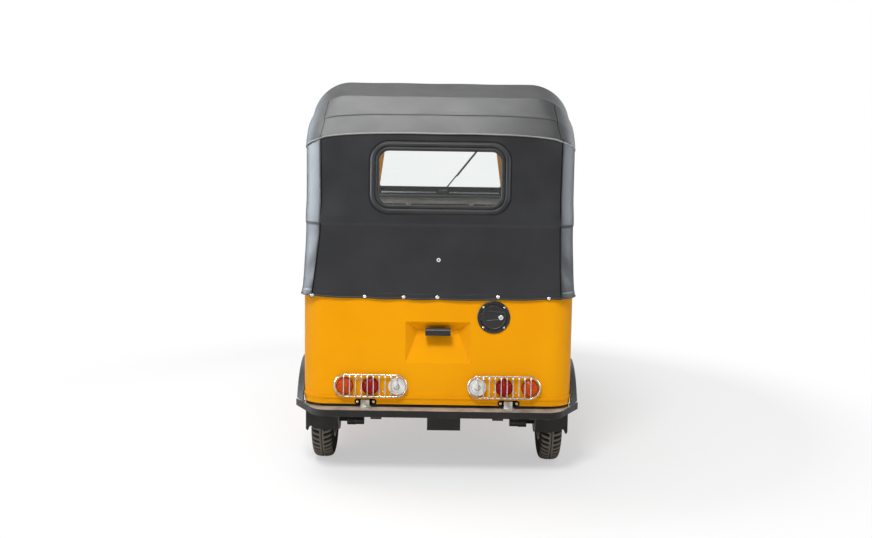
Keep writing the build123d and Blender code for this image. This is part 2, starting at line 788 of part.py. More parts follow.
# Rear suspension: trailing arms round the drive shafts, with coil-over shock absorbers
arm_inner_x = 388.0
arm_outer_x = rear_track / 2 - drum_inboard - 0.5
arm_pivot_y = bench_front_y + 52.0
arm_pivot_z = neck_z
shock_x = 366.0
shock_y = rear_axle_y - 62.0
shock_foot_z = 190.0
with BuildPart() as trailing_arms:
    with BuildSketch(Plane.YZ.offset(arm_inner_x)):
        with Locations((rear_axle_y, axle_z)):
            Circle(44.0)
        with Locations((arm_pivot_y, arm_pivot_z)):
            Circle(31.0)
        with Locations((shock_y, shock_foot_z)):
            Circle(22.0)
        make_hull()
    extrude(amount=40.0)
    with BuildSketch(Plane.YZ.offset(arm_inner_x)):
        with Locations((rear_axle_y, axle_z)):
            Circle(40.0)
    extrude(amount=arm_outer_x - arm_inner_x)
    with BuildSketch(Plane.YZ.offset(shock_x - 18.0)):
        with Locations((shock_y, shock_foot_z)):
            Circle(20.0)
    extrude(amount=arm_inner_x - shock_x + 20.0)
    with BuildSketch(Plane.YZ.offset(rail_outer_x + seat_gap)):
        with Locations((arm_pivot_y, arm_pivot_z)):
            Circle(16.0)
    extrude(amount=arm_inner_x - rail_outer_x)
    with BuildSketch(Plane.YZ.offset(arm_inner_x - 60.0)):
        with Locations((rear_axle_y, axle_z)):
            Circle(shaft_radius + 0.5)
    extrude(amount=200.0, mode=Mode.SUBTRACT)
    mirror(about=Plane.YZ)
pieces["trailing_arms"] = trailing_arms

shock_top_z = bench_top_z - body_wall - seat_gap
coil_count = 9
coil_low_z = axle_z + 66.0
coil_pitch = (shock_top_z - 40.0 - coil_low_z) / coil_count
with BuildPart() as rear_shocks:
    with BuildSketch(Plane.XZ.offset(-shock_y)):
        with BuildLine():
            outline = [(0.0, shock_foot_z + 20.0 + seat_gap), (13.0, shock_foot_z + 20.0 + seat_gap)]
            outline += [(13.0, coil_low_z - 6.0), (32.0, coil_low_z - 6.0)]
            for coil in range(coil_count):
                level = coil_low_z + coil * coil_pitch
                outline += [(32.0, level), (32.0, level + coil_pitch * 0.4)]
                outline += [(18.0, level + coil_pitch * 0.5), (18.0, level + coil_pitch * 0.9)]
            outline += [(32.0, shock_top_z - 40.0), (32.0, shock_top_z - 30.0)]
            outline += [(20.0, shock_top_z - 30.0), (20.0, shock_top_z), (0.0, shock_top_z)]
            Polyline(*((shock_x + reach, level) for reach, level in outline), close=True)
        make_face()
    revolve(axis=Axis((shock_x, shock_y, 0), (0, 0, 1)))
    mirror(about=Plane.YZ)
pieces["rear_shocks"] = rear_shocks

# Front: leg shield, nose cowl, headlamps and dashboard
with BuildPart() as leg_shield:
    with BuildSketch(Plane.XZ.offset(-shield_y)):
        with Locations((0, (floor_z + seat_gap + shield_top_z) / 2)):
            Rectangle(2 * shield_half_width, shield_top_z - floor_z - seat_gap)
    extrude(amount=body_wall)
pieces["leg_shield"] = leg_shield

nose_back_y = shield_y + seat_gap
nose_sections = [
    # height, half width, end of the straight side, foremost point
    (cowl_bottom_z, 380.0, front_axle_y - 158.0, front_axle_y + 62.0),
    ((cowl_bottom_z + cowl_top_z) / 2, 448.0, front_axle_y - 178.0, front_axle_y + 17.0),
    (cowl_top_z, 450.0, front_axle_y - 198.0, front_axle_y - 118.0),
]
nose_wall = 14.0
headlamp_x = 225.0
headlamp_z = 745.0
headlamp_radius = 80.0
with BuildPart() as front_cowl:
    loft(
        [nose_plan(half, nose_back_y, side_at, front_at, z) for z, half, side_at, front_at in nose_sections]
    )
    loft(
        [
            nose_plan(
                half - nose_wall,
                nose_back_y - 40.0,
                side_at,
                front_at - nose_wall,
                z - (nose_wall if z == cowl_top_z else 0.0),
            )
            for z, half, side_at, front_at in nose_sections
        ],
        mode=Mode.SUBTRACT,
    )
    with BuildSketch(Plane.XZ.offset(-(front_axle_y - 140.0))):
        with Locations((-headlamp_x, headlamp_z), (headlamp_x, headlamp_z)):
            Circle(headlamp_radius)
    extrude(amount=-240.0, mode=Mode.SUBTRACT)
pieces["front_cowl"] = front_cowl

with BuildPart() as headlamp_rims:
    with BuildSketch(Plane.XZ.offset(-(front_axle_y - 110.0))):
        with Locations((-headlamp_x, headlamp_z), (headlamp_x, headlamp_z)):
            Circle(headlamp_radius - 0.4)
    extrude(amount=-106.0)
    with BuildSketch(Plane.XZ.offset(-(front_axle_y - 26.0))):
        with Locations((-headlamp_x, headlamp_z), (headlamp_x, headlamp_z)):
            Circle(headlamp_radius - 9.0)
    extrude(amount=-40.0, mode=Mode.SUBTRACT)
pieces["headlamp_rims"] = headlamp_rims

with BuildPart() as headlamp_lenses:
    with BuildSketch(Plane.XZ.offset(-(front_axle_y - 26.0 + seat_gap))):
        with Locations((-headlamp_x, headlamp_z), (headlamp_x, headlamp_z)):
            Circle(headlamp_radius - 9.4)
    extrude(amount=-24.0)
    fillet(headlamp_lenses.faces().sort_by(Axis.Y)[-2:].edges(), radius=14.0)
pieces["headlamp_lenses"] = headlamp_lenses

with BuildPart() as dashboard:
    dash_y = front_axle_y - 196.0
    with BuildSketch(Plane.YZ.offset(-295.0)):
        with BuildLine():
            Polyline(
                (dash_y, cowl_top_z - nose_wall - seat_gap),
                (dash_y, cowl_top_z - 62.0),
                (dash_y + 28.0, cowl_top_z - 92.0),
                (dash_y + 28.0, cowl_top_z - nose_wall - seat_gap),
                close=True,
            )
        make_face()
    extrude(amount=590.0)
pieces["dashboard"] = dashboard

# Windscreen: a leaning frame on the cowl, its glass and the wiper
tilt = radians(screen_rake)
frame_half_depth = 20.0
screen = Plane(
    (0, front_axle_y - 153.0, cowl_top_z),
    x_dir=(-1, 0, 0),
    z_dir=(0, cos(tilt), sin(tilt)),
)
glass_low = 48.0
glass_high = screen_height - 46.0
screen_top = screen.from_local_coords((0, screen_height, frame_half_depth))
with BuildPart() as windscreen_frame:
    with BuildSketch(screen):
        with BuildLine():
            FilletPolyline(
                (-440.0, -20.0),
                (440.0, -20.0),
                (368.0, screen_height),
                (-368.0, screen_height),
                radius=(8.0, 8.0, 110.0, 110.0),
                close=True,
            )
        make_face()
        with BuildLine():
            FilletPolyline(
                (-388.0, glass_low),
                (388.0, glass_low),
                (324.0, glass_high),
                (-324.0, glass_high),
                radius=(15.0, 15.0, 60.0, 60.0),
                close=True,
            )
        make_face(mode=Mode.SUBTRACT)
    extrude(amount=frame_half_depth, both=True)
    block(
        (-500.0, 500.0),
        (screen.origin.Y - 90.0, screen.origin.Y + 90.0),
        (cowl_top_z - 60.0, cowl_top_z + seat_gap),
        mode=Mode.SUBTRACT,
    )
pieces["windscreen_frame"] = windscreen_frame

with BuildPart() as windscreen_glass:
    with BuildSketch(screen):
        with BuildLine():
            FilletPolyline(
                (seat_gap - 388.0, glass_low + seat_gap),
                (388.0 - seat_gap, glass_low + seat_gap),
                (324.0 - seat_gap, glass_high - seat_gap),
                (seat_gap - 324.0, glass_high - seat_gap),
                radius=(15.0, 15.0, 60.0, 60.0),
                close=True,
            )
        make_face()
    extrude(amount=2.5, both=True)
pieces["windscreen_glass"] = windscreen_glass

wiper_pivot = (-31.0, glass_low - 22.0)
wiper_tip = (-228.0, glass_low + 240.0)
wiper_span = hypot(wiper_tip[0] - wiper_pivot[0], wiper_tip[1] - wiper_pivot[1])
wiper_angle = degrees(atan2(wiper_tip[1] - wiper_pivot[1], wiper_tip[0] - wiper_pivot[0]))
with BuildPart() as wiper:
    with BuildSketch(screen.offset(frame_half_depth + seat_gap)):
        with Locations(wiper_pivot):
            Circle(13.0)
    extrude(amount=12.0)
    with BuildSketch(screen.offset(frame_half_depth + seat_gap + 4.0)):
        with Locations(Location(wiper_pivot, wiper_angle)):
            Rectangle(wiper_span, 7.0, align=(Align.MIN, Align.CENTER))
    extrude(amount=6.0)
    with BuildSketch(screen.offset(3.5)):
        with Locations(Location(wiper_tip, wiper_angle)):
            Rectangle(wiper_span * 0.62, 8.0, align=(Align.MAX, Align.CENTER))
    extrude(amount=frame_half_depth + 4.0)
    with BuildSketch(screen.offset(-frame_half_depth - seat_gap)):
        with Locations((-16.0, glass_low - 16.0)):
            Rectangle(58.0, 29.0)
    extrude(amount=-34.0)
pieces["wiper"] = wiper

mirror_level = 120.0
mirror_foot = 440.0 - 72.0 * (mirror_level + 20.0) / (screen_height + 20.0)
with BuildPart() as mirrors:
    with BuildSketch(
        Plane(
            screen.from_local_coords((-mirror_foot - 1.2, mirror_level, 0)),
            x_dir=(0, 1, 0),
            z_dir=(1, 0, 0),
        )
    ):
        Circle(6.0)
    extrude(amount=90.0)
    mirror_centre = screen.from_local_coords((-mirror_foot - 130.0, mirror_level, 0))
    with BuildSketch(Plane(mirror_centre, x_dir=(1, 0, 0), z_dir=(0, -1, 0))):
        RectangleRounded(96.0, 130.0, 30.0)
    extrude(amount=9.0, both=True)
    mirror(about=Plane.YZ)
pieces["mirrors"] = mirrors

# Hood: a stretched cover over bows, with a rear panel that hangs outside the body
hood_rear_y = body_rear_y + 24.0
hood_front_y = screen_top.Y + 4.0
front_top_z = screen_top.Z + cloth + seat_gap
hood_stations = [
    # y, half width, top, arch inwards, arch downwards, eave
    (hood_rear_y, 614.0, overall_height - 245.0, 130.0, 70.0, overall_height - 320.0),
    (rear_y + 330.0, 620.0, overall_height - 77.0, 190.0, 190.0, overall_height - 316.0),
    (rear_y + 560.0, 620.0, overall_height - 3.0, 190.0, 190.0, overall_height - 314.0),
    ((quarter_front_y + pillar_y) / 2, 618.0, overall_height, 190.0, 190.0, overall_height - 310.0),
    (pillar_y, 606.0, overall_height - 10.0, 185.0, 185.0, overall_height - 300.0),
    (hood_front_y, 412.0, front_top_z, 130.0, 130.0, front_top_z - 150.0),
]
back_top_z = overall_height - 248.0
split_z = overall_height - 268.0
window_half_width = 292.0
window_half_height = 142.0
window_z = split_z - 175.0
hem_half_width = body_half_width + seat_gap + cloth
hem_rear_y = body_rear_y - seat_gap - cloth
back_sections = [
    # height, half width, rear face
    (hem_z, hem_half_width, hem_rear_y),
    (body_top_z + 6.0, hem_half_width, hem_rear_y),
    (window_z - 207.0, body_half_width - 8.0, hem_rear_y),
    (overall_height - 235.0, body_half_width - 10.0, hood_rear_y - 6.0),
]
hood_corner = 92.0


def hood_shape(inset, reach):
    """The hood as a solid; inset moves every face inwards and reach opens its free ends."""
    with BuildPart() as cover:
        stations = hood_stations
        if reach > 0:
            stations = hood_stations + [(hood_front_y + reach, *hood_stations[-1][1:])]
        loft(
            [
                hood_arch(
                    y + (inset if index == 0 else 0.0),
                    half - inset,
                    top - inset,
                    max(arch_in - inset, 20.0),
                    max(arch_down - inset, 20.0),
                    eave - reach,
                )
                for index, (y, half, top, arch_in, arch_down, eave) in enumerate(stations)
            ],
            ruled=True,
        )
        extrude(
            wall_plan(640.0 - inset, hood_rear_y + inset, hood_front_y + 50.0, hood_corner - inset, 1200.0),
            amount=overall_height,
            mode=Mode.INTERSECT,
        )
    with BuildPart() as back:
        loft(
            [
                wall_plan(half - inset, rear + inset, quarter_front_y + reach, hood_corner - inset, z)
                for z, half, rear in back_sections
            ],
            ruled=True,
        )
        if reach == 0:
            extrude(
                hood_arch(hem_rear_y - 40.0, 640.0, back_top_z, 156.0, 80.0, hem_z - 40.0),
                amount=-(quarter_front_y - hem_rear_y + 200.0),
                mode=Mode.INTERSECT,
            )
    return cover.part, back.part


outer_cover, outer_back = hood_shape(0.0, 0.0)
inner_cover, inner_back = hood_shape(cloth, 60.0)
with BuildPart() as hood_sides:
    add(outer_back)
    add(inner_back, mode=Mode.SUBTRACT)
with BuildPart() as hood:
    add(outer_cover)
    add(inner_cover, mode=Mode.SUBTRACT)
    add(hood_sides.part)

back_span = [(-700.0, 700.0), (hem_rear_y - 50.0, quarter_front_y), (hem_z - 50.0, split_z)]
panel_lean = atan2(hood_rear_y - 6.0 - hem_rear_y, back_sections[3][0] - back_sections[2][0])
window_plane = Plane(
    (0, hem_rear_y + (window_z - back_sections[2][0]) * tan(panel_lean), window_z),
    x_dir=(1, 0, 0),
    z_dir=(0, -cos(panel_lean), sin(panel_lean)),
)
with BuildPart() as canopy_roof:
    add(hood.part)
    block(*back_span, mode=Mode.SUBTRACT)
pieces["canopy_roof"] = canopy_roof

with BuildPart() as canopy_back:
    add(hood.part)
    block(*back_span, mode=Mode.INTERSECT)
    with BuildSketch(window_plane.offset(40.0)):
        RectangleRounded(2 * window_half_width, 2 * window_half_height, 66.0)
    extrude(amount=-100.0, mode=Mode.SUBTRACT)
pieces["canopy_back"] = canopy_back

with BuildPart() as rear_window_seal:
    with BuildSketch(window_plane.offset(seat_gap)):
        RectangleRounded(2 * window_half_width + 40.0, 2 * window_half_height + 28.0, 82.0)
    extrude(amount=10.0)
    with BuildSketch(window_plane.offset(seat_gap)):
        RectangleRounded(2 * window_half_width - 0.8, 2 * window_half_height - 0.8, 65.6)
    extrude(amount=-cloth - 6.0)
    with BuildSketch(window_plane.offset(20.0)):
        RectangleRounded(2 * window_half_width - 42.0, 2 * window_half_height - 24.0, 46.0)
    extrude(amount=-60.0, mode=Mode.SUBTRACT)
pieces["rear_window_seal"] = rear_window_seal

with BuildPart() as rear_window_glass:
    with BuildSketch(window_plane.offset(-2.0)):
        RectangleRounded(2 * window_half_width - 42.6, 2 * window_half_height - 24.6, 45.7)
    extrude(amount=4.0)
pieces["rear_window_glass"] = rear_window_glass

# Hood frame: tubular bows under the cover, tied by two roof rails
bow_x = inner_half_width - bow_radius - 0.5
rear_bow_y = hood_rear_y + 38.0
bow_corner_reach = body_corner - body_wall - bow_radius - 0.5
rear_bow_x = body_half_width - body_corner + sqrt(
    bow_corner_reach**2 - (body_rear_y + body_corner - rear_bow_y) ** 2
)
bows = [
    # y, half width, top, corner, foot
    (rear_bow_y, rear_bow_x, overall_height - 272.0, 100.0, recess_high_z + 20.0),
    (rear_y + 330.0, bow_x, overall_height - 105.0, 160.0, bench_top_z + seat_gap),
    (quarter_front_y - 20.0, bow_x, overall_height - 27.0, 160.0, bench_top_z + seat_gap),
    (pillar_y, bow_x, overall_height - 34.0, 160.0, floor_z + seat_gap),
]
roof_rail = [(380.0, y, top) for y, half, top, corner, foot in bows]
roof_rail.append((240.0, screen_top.Y - 44.0, front_top_z - cloth - 18.0))
with BuildPart() as hood_frame:
    for bow_y, half, top, corner, foot in bows:
        with BuildLine() as bow_line:
            FilletPolyline(
                (-half, bow_y, foot),
                (-half, bow_y, top),
                (half, bow_y, top),
                (half, bow_y, foot),
                radius=corner,
            )
        with BuildSketch(Plane((-half, bow_y, foot), z_dir=(0, 0, 1))):
            Circle(bow_radius)
        sweep(path=bow_line.line)
    for rail_side in (-1, 1):
        for start, end in zip(roof_rail[:-1], roof_rail[1:]):
            with BuildLine() as rail_line:
                Line((rail_side * start[0], *start[1:]), (rail_side * end[0], *end[1:]))
            with BuildSketch(Plane(rail_line.line @ 0, z_dir=rail_line.line % 0)):
                Circle(10.0)
            sweep(path=rail_line.line)
pieces["hood_frame"] = hood_frame

# Driver's seat before a tubular partition
rail_span = bow_x - bow_radius - seat_gap
with BuildPart() as partition_rail:
    for bar_z, bar_radius in ((partition_top_z, 16.0), (760.0, 12.0)):
        with BuildSketch(Plane((-rail_span, pillar_y, bar_z), x_dir=(0, 1, 0), z_dir=(1, 0, 0))):
            Circle(bar_radius)
        extrude(amount=2 * rail_span)
    with BuildSketch(Plane.XY.offset(floor_z + seat_gap)):
        with Locations((-180.0, pillar_y), (180.0, pillar_y)):
            Circle(12.0)
    extrude(amount=partition_top_z - floor_z - seat_gap)
pieces["partition_rail"] = partition_rail

seat_back_y = pillar_y + 40.0
with BuildPart() as driver_seat_base:
    block(
        (10.0 - driver_seat_half, driver_seat_half - 10.0),
        (seat_back_y + 10.0, seat_back_y + driver_seat_depth - 10.0),
        (floor_z + seat_gap, driver_seat_z),
    )
pieces["driver_seat_base"] = driver_seat_base

with BuildPart() as driver_cushion:
    block(
        (-driver_seat_half, driver_seat_half),
        (seat_back_y, seat_back_y + driver_seat_depth),
        (driver_seat_z + seat_gap, driver_seat_z + driver_cushion_height),
    )
    fillet(driver_cushion.faces().sort_by(Axis.Z)[-1].edges(), radius=24.0)
pieces["driver_cushion"] = driver_cushion

back_low_z = driver_seat_z + driver_cushion_height + 15.0
with BuildPart() as driver_backrest:
    block(
        (10.0 - driver_seat_half, driver_seat_half - 10.0),
        (pillar_y + 12.0 + seat_gap, pillar_y + 80.0),
        (back_low_z, back_low_z + driver_back_height),
    )
    fillet(driver_backrest.faces().sort_by(Axis.Y)[-1].edges(), radius=22.0)
pieces["driver_backrest"] = driver_backrest

for node, piece in pieces.items():
    piece.part.label = node
    export_step(piece.part, f"parts/{node}.step")
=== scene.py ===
# %% [markdown]
# # An auto rickshaw seen from behind
# The solids of this three-wheeler come from a CAD model that is already packed with its joints.
# This lesson gives them paint, vinyl, rubber, glass and wire, and replaces the soft and the finely
# detailed solids with surfaces that are worked out as whole arrays of points.
# The frame is loaded first and never moved, so every new piece is written in the same metres.

# %% Load the fixed frame
import json
from math import pi, radians

import bmesh
import bpy
import numpy as np
from mathutils import Matrix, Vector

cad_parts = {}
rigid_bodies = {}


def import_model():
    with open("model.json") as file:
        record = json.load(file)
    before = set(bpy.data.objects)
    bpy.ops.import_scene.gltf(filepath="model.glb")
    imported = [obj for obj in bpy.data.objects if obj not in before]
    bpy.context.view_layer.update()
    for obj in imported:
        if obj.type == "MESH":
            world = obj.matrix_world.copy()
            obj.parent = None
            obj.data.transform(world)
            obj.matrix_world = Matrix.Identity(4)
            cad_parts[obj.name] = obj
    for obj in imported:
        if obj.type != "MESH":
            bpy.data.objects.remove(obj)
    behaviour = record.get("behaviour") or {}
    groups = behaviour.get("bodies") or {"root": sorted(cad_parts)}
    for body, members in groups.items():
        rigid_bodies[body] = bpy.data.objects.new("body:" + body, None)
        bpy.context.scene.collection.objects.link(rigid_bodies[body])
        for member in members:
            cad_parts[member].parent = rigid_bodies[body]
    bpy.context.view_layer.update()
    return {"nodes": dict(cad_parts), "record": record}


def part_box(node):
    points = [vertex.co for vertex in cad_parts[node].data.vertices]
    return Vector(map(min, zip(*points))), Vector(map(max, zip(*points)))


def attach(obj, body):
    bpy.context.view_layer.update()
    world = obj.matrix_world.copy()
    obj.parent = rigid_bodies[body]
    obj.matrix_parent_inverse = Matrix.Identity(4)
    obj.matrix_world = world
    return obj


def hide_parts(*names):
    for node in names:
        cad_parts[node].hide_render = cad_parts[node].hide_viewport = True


for leftover in list(bpy.data.objects):
    bpy.data.objects.remove(leftover)
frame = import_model()
nodes = frame["nodes"]

# %% [markdown]
# ## The camera
# The photograph was taken from straight behind, a little above the middle of the window, with a
# normal lens. The place, tilt and small roll below come from fitting known edges of the vehicle to
# the picture, and the picture is 872 by 538 pixels, so a focal length in pixels turns into one in
# millimetres of a 36 mm wide sensor.

# %% Camera
picture_width, focal_pixels, aside_pixels, up_pixels = 872.0, 1091.9, -2.91, 3.20
sensor_width = 36.0
camera_place, look_down, roll = (0.0, -6.12, 1.5), 6.6, 0.827
camera_data = bpy.data.cameras.new("rear_view")
camera_data.sensor_fit = "HORIZONTAL"
camera_data.sensor_width = sensor_width
camera_data.lens = sensor_width * focal_pixels / picture_width
camera_data.shift_x = aside_pixels / picture_width
camera_data.shift_y = up_pixels / picture_width
camera_data.clip_end = 200.0
camera = bpy.data.objects.new("rear_view", camera_data)
bpy.context.scene.collection.objects.link(camera)
camera.matrix_world = (
    Matrix.Translation(camera_place)
    @ Matrix.Rotation(radians(90.0 - look_down), 4, "X")
    @ Matrix.Rotation(radians(roll), 4, "Z")
)
bpy.context.scene.camera = camera
bpy.context.scene.view_settings.view_transform = "Standard"
print("lens", round(camera_data.lens, 2), "mm")

# %% [markdown]
# ## Shader helpers
# A material is a small graph. `put` adds one node with its settings and fills its sockets with
# numbers or links, and `shader_group` opens an empty group with named sockets, so an effect that many
# finishes share is built once and placed in each with its own values.


# %% Node helpers
def put(tree, kind, values=None, **settings):
    """Adds a node, sets its settings, and fills its sockets with numbers or with links."""
    made = tree.nodes.new(kind)
    for key, value in settings.items():
        setattr(made, key, value)
    for key, value in (values or {}).items():
        if isinstance(value, bpy.types.NodeSocket):
            tree.links.new(value, made.inputs[key])
        else:
            made.inputs[key].default_value = value
    return made


def shader_group(name, inputs, outputs):
    """An empty shader group with named number, colour or vector sockets, and its two ends."""
    made = bpy.data.node_groups.new(name, "ShaderNodeTree")
    for label, kind in inputs:
        made.interface.new_socket(label, in_out="INPUT", socket_type=f"NodeSocket{kind}")
    for label, kind in outputs:
        made.interface.new_socket(label, in_out="OUTPUT", socket_type=f"NodeSocket{kind}")
    return made, made.nodes.new("NodeGroupInput").outputs, made.nodes.new("NodeGroupOutput").inputs


def blend_colour(tree, share, first, second):
    """A mix of two colours by a share, as a colour socket."""
    mixed = put(tree, "ShaderNodeMix", data_type="RGBA")
    for index, value in ((0, share), (6, first), (7, second)):
        if isinstance(value, bpy.types.NodeSocket):
            tree.links.new(value, mixed.inputs[index])
        else:
            mixed.inputs[index].default_value = value
    return mixed.outputs[2]


# %% [markdown]
# ## Three shared effects
# Real finishes are never one flat colour. Paint and plastic have a fine grain and large soft patches.
# Dust settles on faces that look up, and the same mask also gives some finishes a lighter tone on their
# up-facing faces as painted sheen. Paint rubs off along edges, which the Bevel node finds because a
# rounded normal differs from the true one only near an edge.

# %% Grain and patches
grain_group, grain_in, grain_out = shader_group(
    "Grain and patches",
    [("Place", "Vector"), ("Grain per metre", "Float"), ("Patches per metre", "Float")],
    [("Height", "Float"), ("Patches", "Float")],
)
fine = put(
    grain_group, "ShaderNodeTexNoise",
    {"Vector": grain_in["Place"], "Scale": grain_in["Grain per metre"], "Detail": 2.0},
)
broad = put(
    grain_group, "ShaderNodeTexNoise",
    {"Vector": grain_in["Place"], "Scale": grain_in["Patches per metre"], "Detail": 4.0},
)
spread = put(
    grain_group, "ShaderNodeMapRange",
    {"Value": broad.outputs["Fac"], "From Min": 0.34, "From Max": 0.66},
    interpolation_type="SMOOTHSTEP",
)
grain_group.links.new(fine.outputs["Fac"], grain_out["Height"])
grain_group.links.new(spread.outputs["Result"], grain_out["Patches"])

# %% Settled dust and painted sheen
dust_and_sheen_group, dust_and_sheen_in, dust_and_sheen_out = shader_group(
    "Settled dust", [("Place", "Vector"), ("Amount", "Float")], [("Mask", "Float")]
)
facing = put(dust_and_sheen_group, "ShaderNodeNewGeometry")
upright = put(dust_and_sheen_group, "ShaderNodeSeparateXYZ", {0: facing.outputs["Normal"]})
looks_up = put(
    dust_and_sheen_group, "ShaderNodeMapRange",
    {"Value": upright.outputs["Z"], "From Min": 0.25, "From Max": 0.95},
    interpolation_type="SMOOTHSTEP",
)
specks = put(dust_and_sheen_group, "ShaderNodeTexNoise", {"Vector": dust_and_sheen_in["Place"], "Scale": 14.0, "Detail": 6.0})
uneven = put(
    dust_and_sheen_group, "ShaderNodeMapRange",
    {"Value": specks.outputs["Fac"], "From Min": 0.3, "From Max": 0.7, "To Min": 0.45, "To Max": 1.0},
)
settled = put(
    dust_and_sheen_group, "ShaderNodeMath",
    {0: looks_up.outputs["Result"], 1: uneven.outputs["Result"]}, operation="MULTIPLY",
)
weighed = put(
    dust_and_sheen_group, "ShaderNodeMath", {0: settled.outputs[0], 1: dust_and_sheen_in["Amount"]}, operation="MULTIPLY"
)
dust_and_sheen_group.links.new(weighed.outputs[0], dust_and_sheen_out["Mask"])

# %% Worn edges
wear_group, wear_in, wear_out = shader_group(
    "Worn edges", [("Place", "Vector"), ("Width", "Float"), ("Amount", "Float")], [("Mask", "Float")]
)
rounded = put(wear_group, "ShaderNodeBevel", {"Radius": wear_in["Width"]}, samples=4)
true_face = put(wear_group, "ShaderNodeNewGeometry")
agree = put(
    wear_group, "ShaderNodeVectorMath",
    {0: rounded.outputs["Normal"], 1: true_face.outputs["Normal"]}, operation="DOT_PRODUCT",
)
near_edge = put(
    wear_group, "ShaderNodeMapRange",
    {"Value": agree.outputs["Value"], "From Min": 0.995, "From Max": 0.90},
)
chips = put(wear_group, "ShaderNodeTexNoise", {"Vector": wear_in["Place"], "Scale": 90.0, "Detail": 5.0})
chipped = put(
    wear_group, "ShaderNodeMapRange", {"Value": chips.outputs["Fac"], "From Min": 0.48, "From Max": 0.62}
)
rubbed = put(
    wear_group, "ShaderNodeMath",
    {0: near_edge.outputs["Result"], 1: chipped.outputs["Result"]}, operation="MULTIPLY",
)
thinned = put(
    wear_group, "ShaderNodeMath", {0: rubbed.outputs[0], 1: wear_in["Amount"]}, operation="MULTIPLY"
)
wear_group.links.new(thinned.outputs[0], wear_out["Mask"])
print("groups", [g.name for g in bpy.data.node_groups])

# %% [markdown]
# ## The finishes
# Each finish is a Principled BSDF in its own material. The shared groups drive what changes over the
# surface: the colour between two close tones, the roughness between two values, a bump, some dust, which
# on some finishes also serves as painted sheen, and worn edges. What is the same all over, such as coat or
# index of refraction, is set on the shader.


# %% Finish builder
def finish(name, tone, second, rough, grain=(900.0, 0.0002), patches=5.0, dust=0.0, wear=0.0, under=None,
           dust_and_sheen_tone=(0.25, 0.22, 0.18), metallic=0.0, specular=0.4, coat=0.0, coat_rough=0.1,
           transmission=0.0, ior=1.5, marked=None):
    """Two tones by soft patches, a third by the piece's own marks, then dust that can also be painted sheen,
    then bare metal at edges.
    """
    made = bpy.data.materials.new(name)
    made.use_nodes = True
    tree = made.node_tree
    shader = tree.nodes["Principled BSDF"]
    place = put(tree, "ShaderNodeTexCoord").outputs["Object"]
    skin = put(
        tree, "ShaderNodeGroup",
        {"Place": place, "Grain per metre": grain[0], "Patches per metre": patches}, node_tree=grain_group,
    )
    colour = blend_colour(tree, skin.outputs["Patches"], (*tone, 1.0), (*second, 1.0))
    roughness = put(
        tree, "ShaderNodeMapRange", {"Value": skin.outputs["Patches"], "To Min": rough[0], "To Max": rough[1]}
    ).outputs["Result"]
    if marked:
        mark = put(tree, "ShaderNodeAttribute", attribute_name="mark").outputs["Fac"]
        colour = blend_colour(tree, mark, colour, (*marked, 1.0))
    if dust:
        dust_and_sheen_mask = put(
            tree, "ShaderNodeGroup", {"Place": place, "Amount": dust}, node_tree=dust_and_sheen_group
        ).outputs["Mask"]
        colour = blend_colour(tree, dust_and_sheen_mask, colour, (*dust_and_sheen_tone, 1.0))
        roughness = put(
            tree, "ShaderNodeMath", {0: dust_and_sheen_mask, 1: 0.25, 2: roughness}, operation="MULTIPLY_ADD"
        ).outputs[0]
    if wear:
        worn = put(
            tree, "ShaderNodeGroup", {"Place": place, "Width": 0.004, "Amount": wear}, node_tree=wear_group
        ).outputs["Mask"]
        colour = blend_colour(tree, worn, colour, (*under, 1.0))
        tree.links.new(worn, shader.inputs["Metallic"])
    else:
        shader.inputs["Metallic"].default_value = metallic
    tree.links.new(colour, shader.inputs["Base Color"])
    tree.links.new(roughness, shader.inputs["Roughness"])
    bump = put(
        tree, "ShaderNodeBump", {"Height": skin.outputs["Height"], "Distance": grain[1], "Strength": 0.6}
    )
    tree.links.new(bump.outputs["Normal"], shader.inputs["Normal"])
    shader.inputs["Specular IOR Level"].default_value = specular
    shader.inputs["Coat Weight"].default_value = coat
    shader.inputs["Coat Roughness"].default_value = coat_rough
    shader.inputs["Transmission Weight"].default_value = transmission
    shader.inputs["IOR"].default_value = ior
    return made


# %% Paints and rubbers
finishes = {
    "body_paint": finish(
        "body_paint", (0.86, 0.352, 0.0015), (0.82, 0.326, 0.0015), (0.30, 0.38), grain=(420.0, 0.0002),
        patches=2.2, specular=0.05,
    ),
    "black_paint": finish(
        "black_paint", (0.016, 0.016, 0.017), (0.030, 0.029, 0.028), (0.36, 0.55), patches=9.0, dust=0.55,
        wear=0.5, under=(0.32, 0.30, 0.27), dust_and_sheen_tone=(0.20, 0.165, 0.135),
    ),
    "rubber": finish(
        "rubber", (0.014, 0.014, 0.015), (0.026, 0.026, 0.027), (0.42, 0.58), grain=(1400.0, 0.0001),
        patches=7.0, dust=0.2,
    ),
    "flap_rubber": finish(
        "flap_rubber", (0.024, 0.023, 0.022), (0.040, 0.037, 0.034), (0.65, 0.85), grain=(700.0, 0.0004),
        patches=11.0, specular=0.2,
    ),
    "tyre_rubber": finish(
        "tyre_rubber", (0.008, 0.008, 0.008), (0.020, 0.018, 0.016), (0.72, 0.9), grain=(500.0, 0.0005),
        patches=16.0, specular=0.15, marked=(0.165, 0.140, 0.116),
    ),
    "rim_paint": finish(
        "rim_paint", (0.42, 0.42, 0.43), (0.30, 0.30, 0.31), (0.3, 0.5), dust=0.2, metallic=0.2, coat=0.2,
    ),
}
print("paints and rubbers", sorted(finishes))

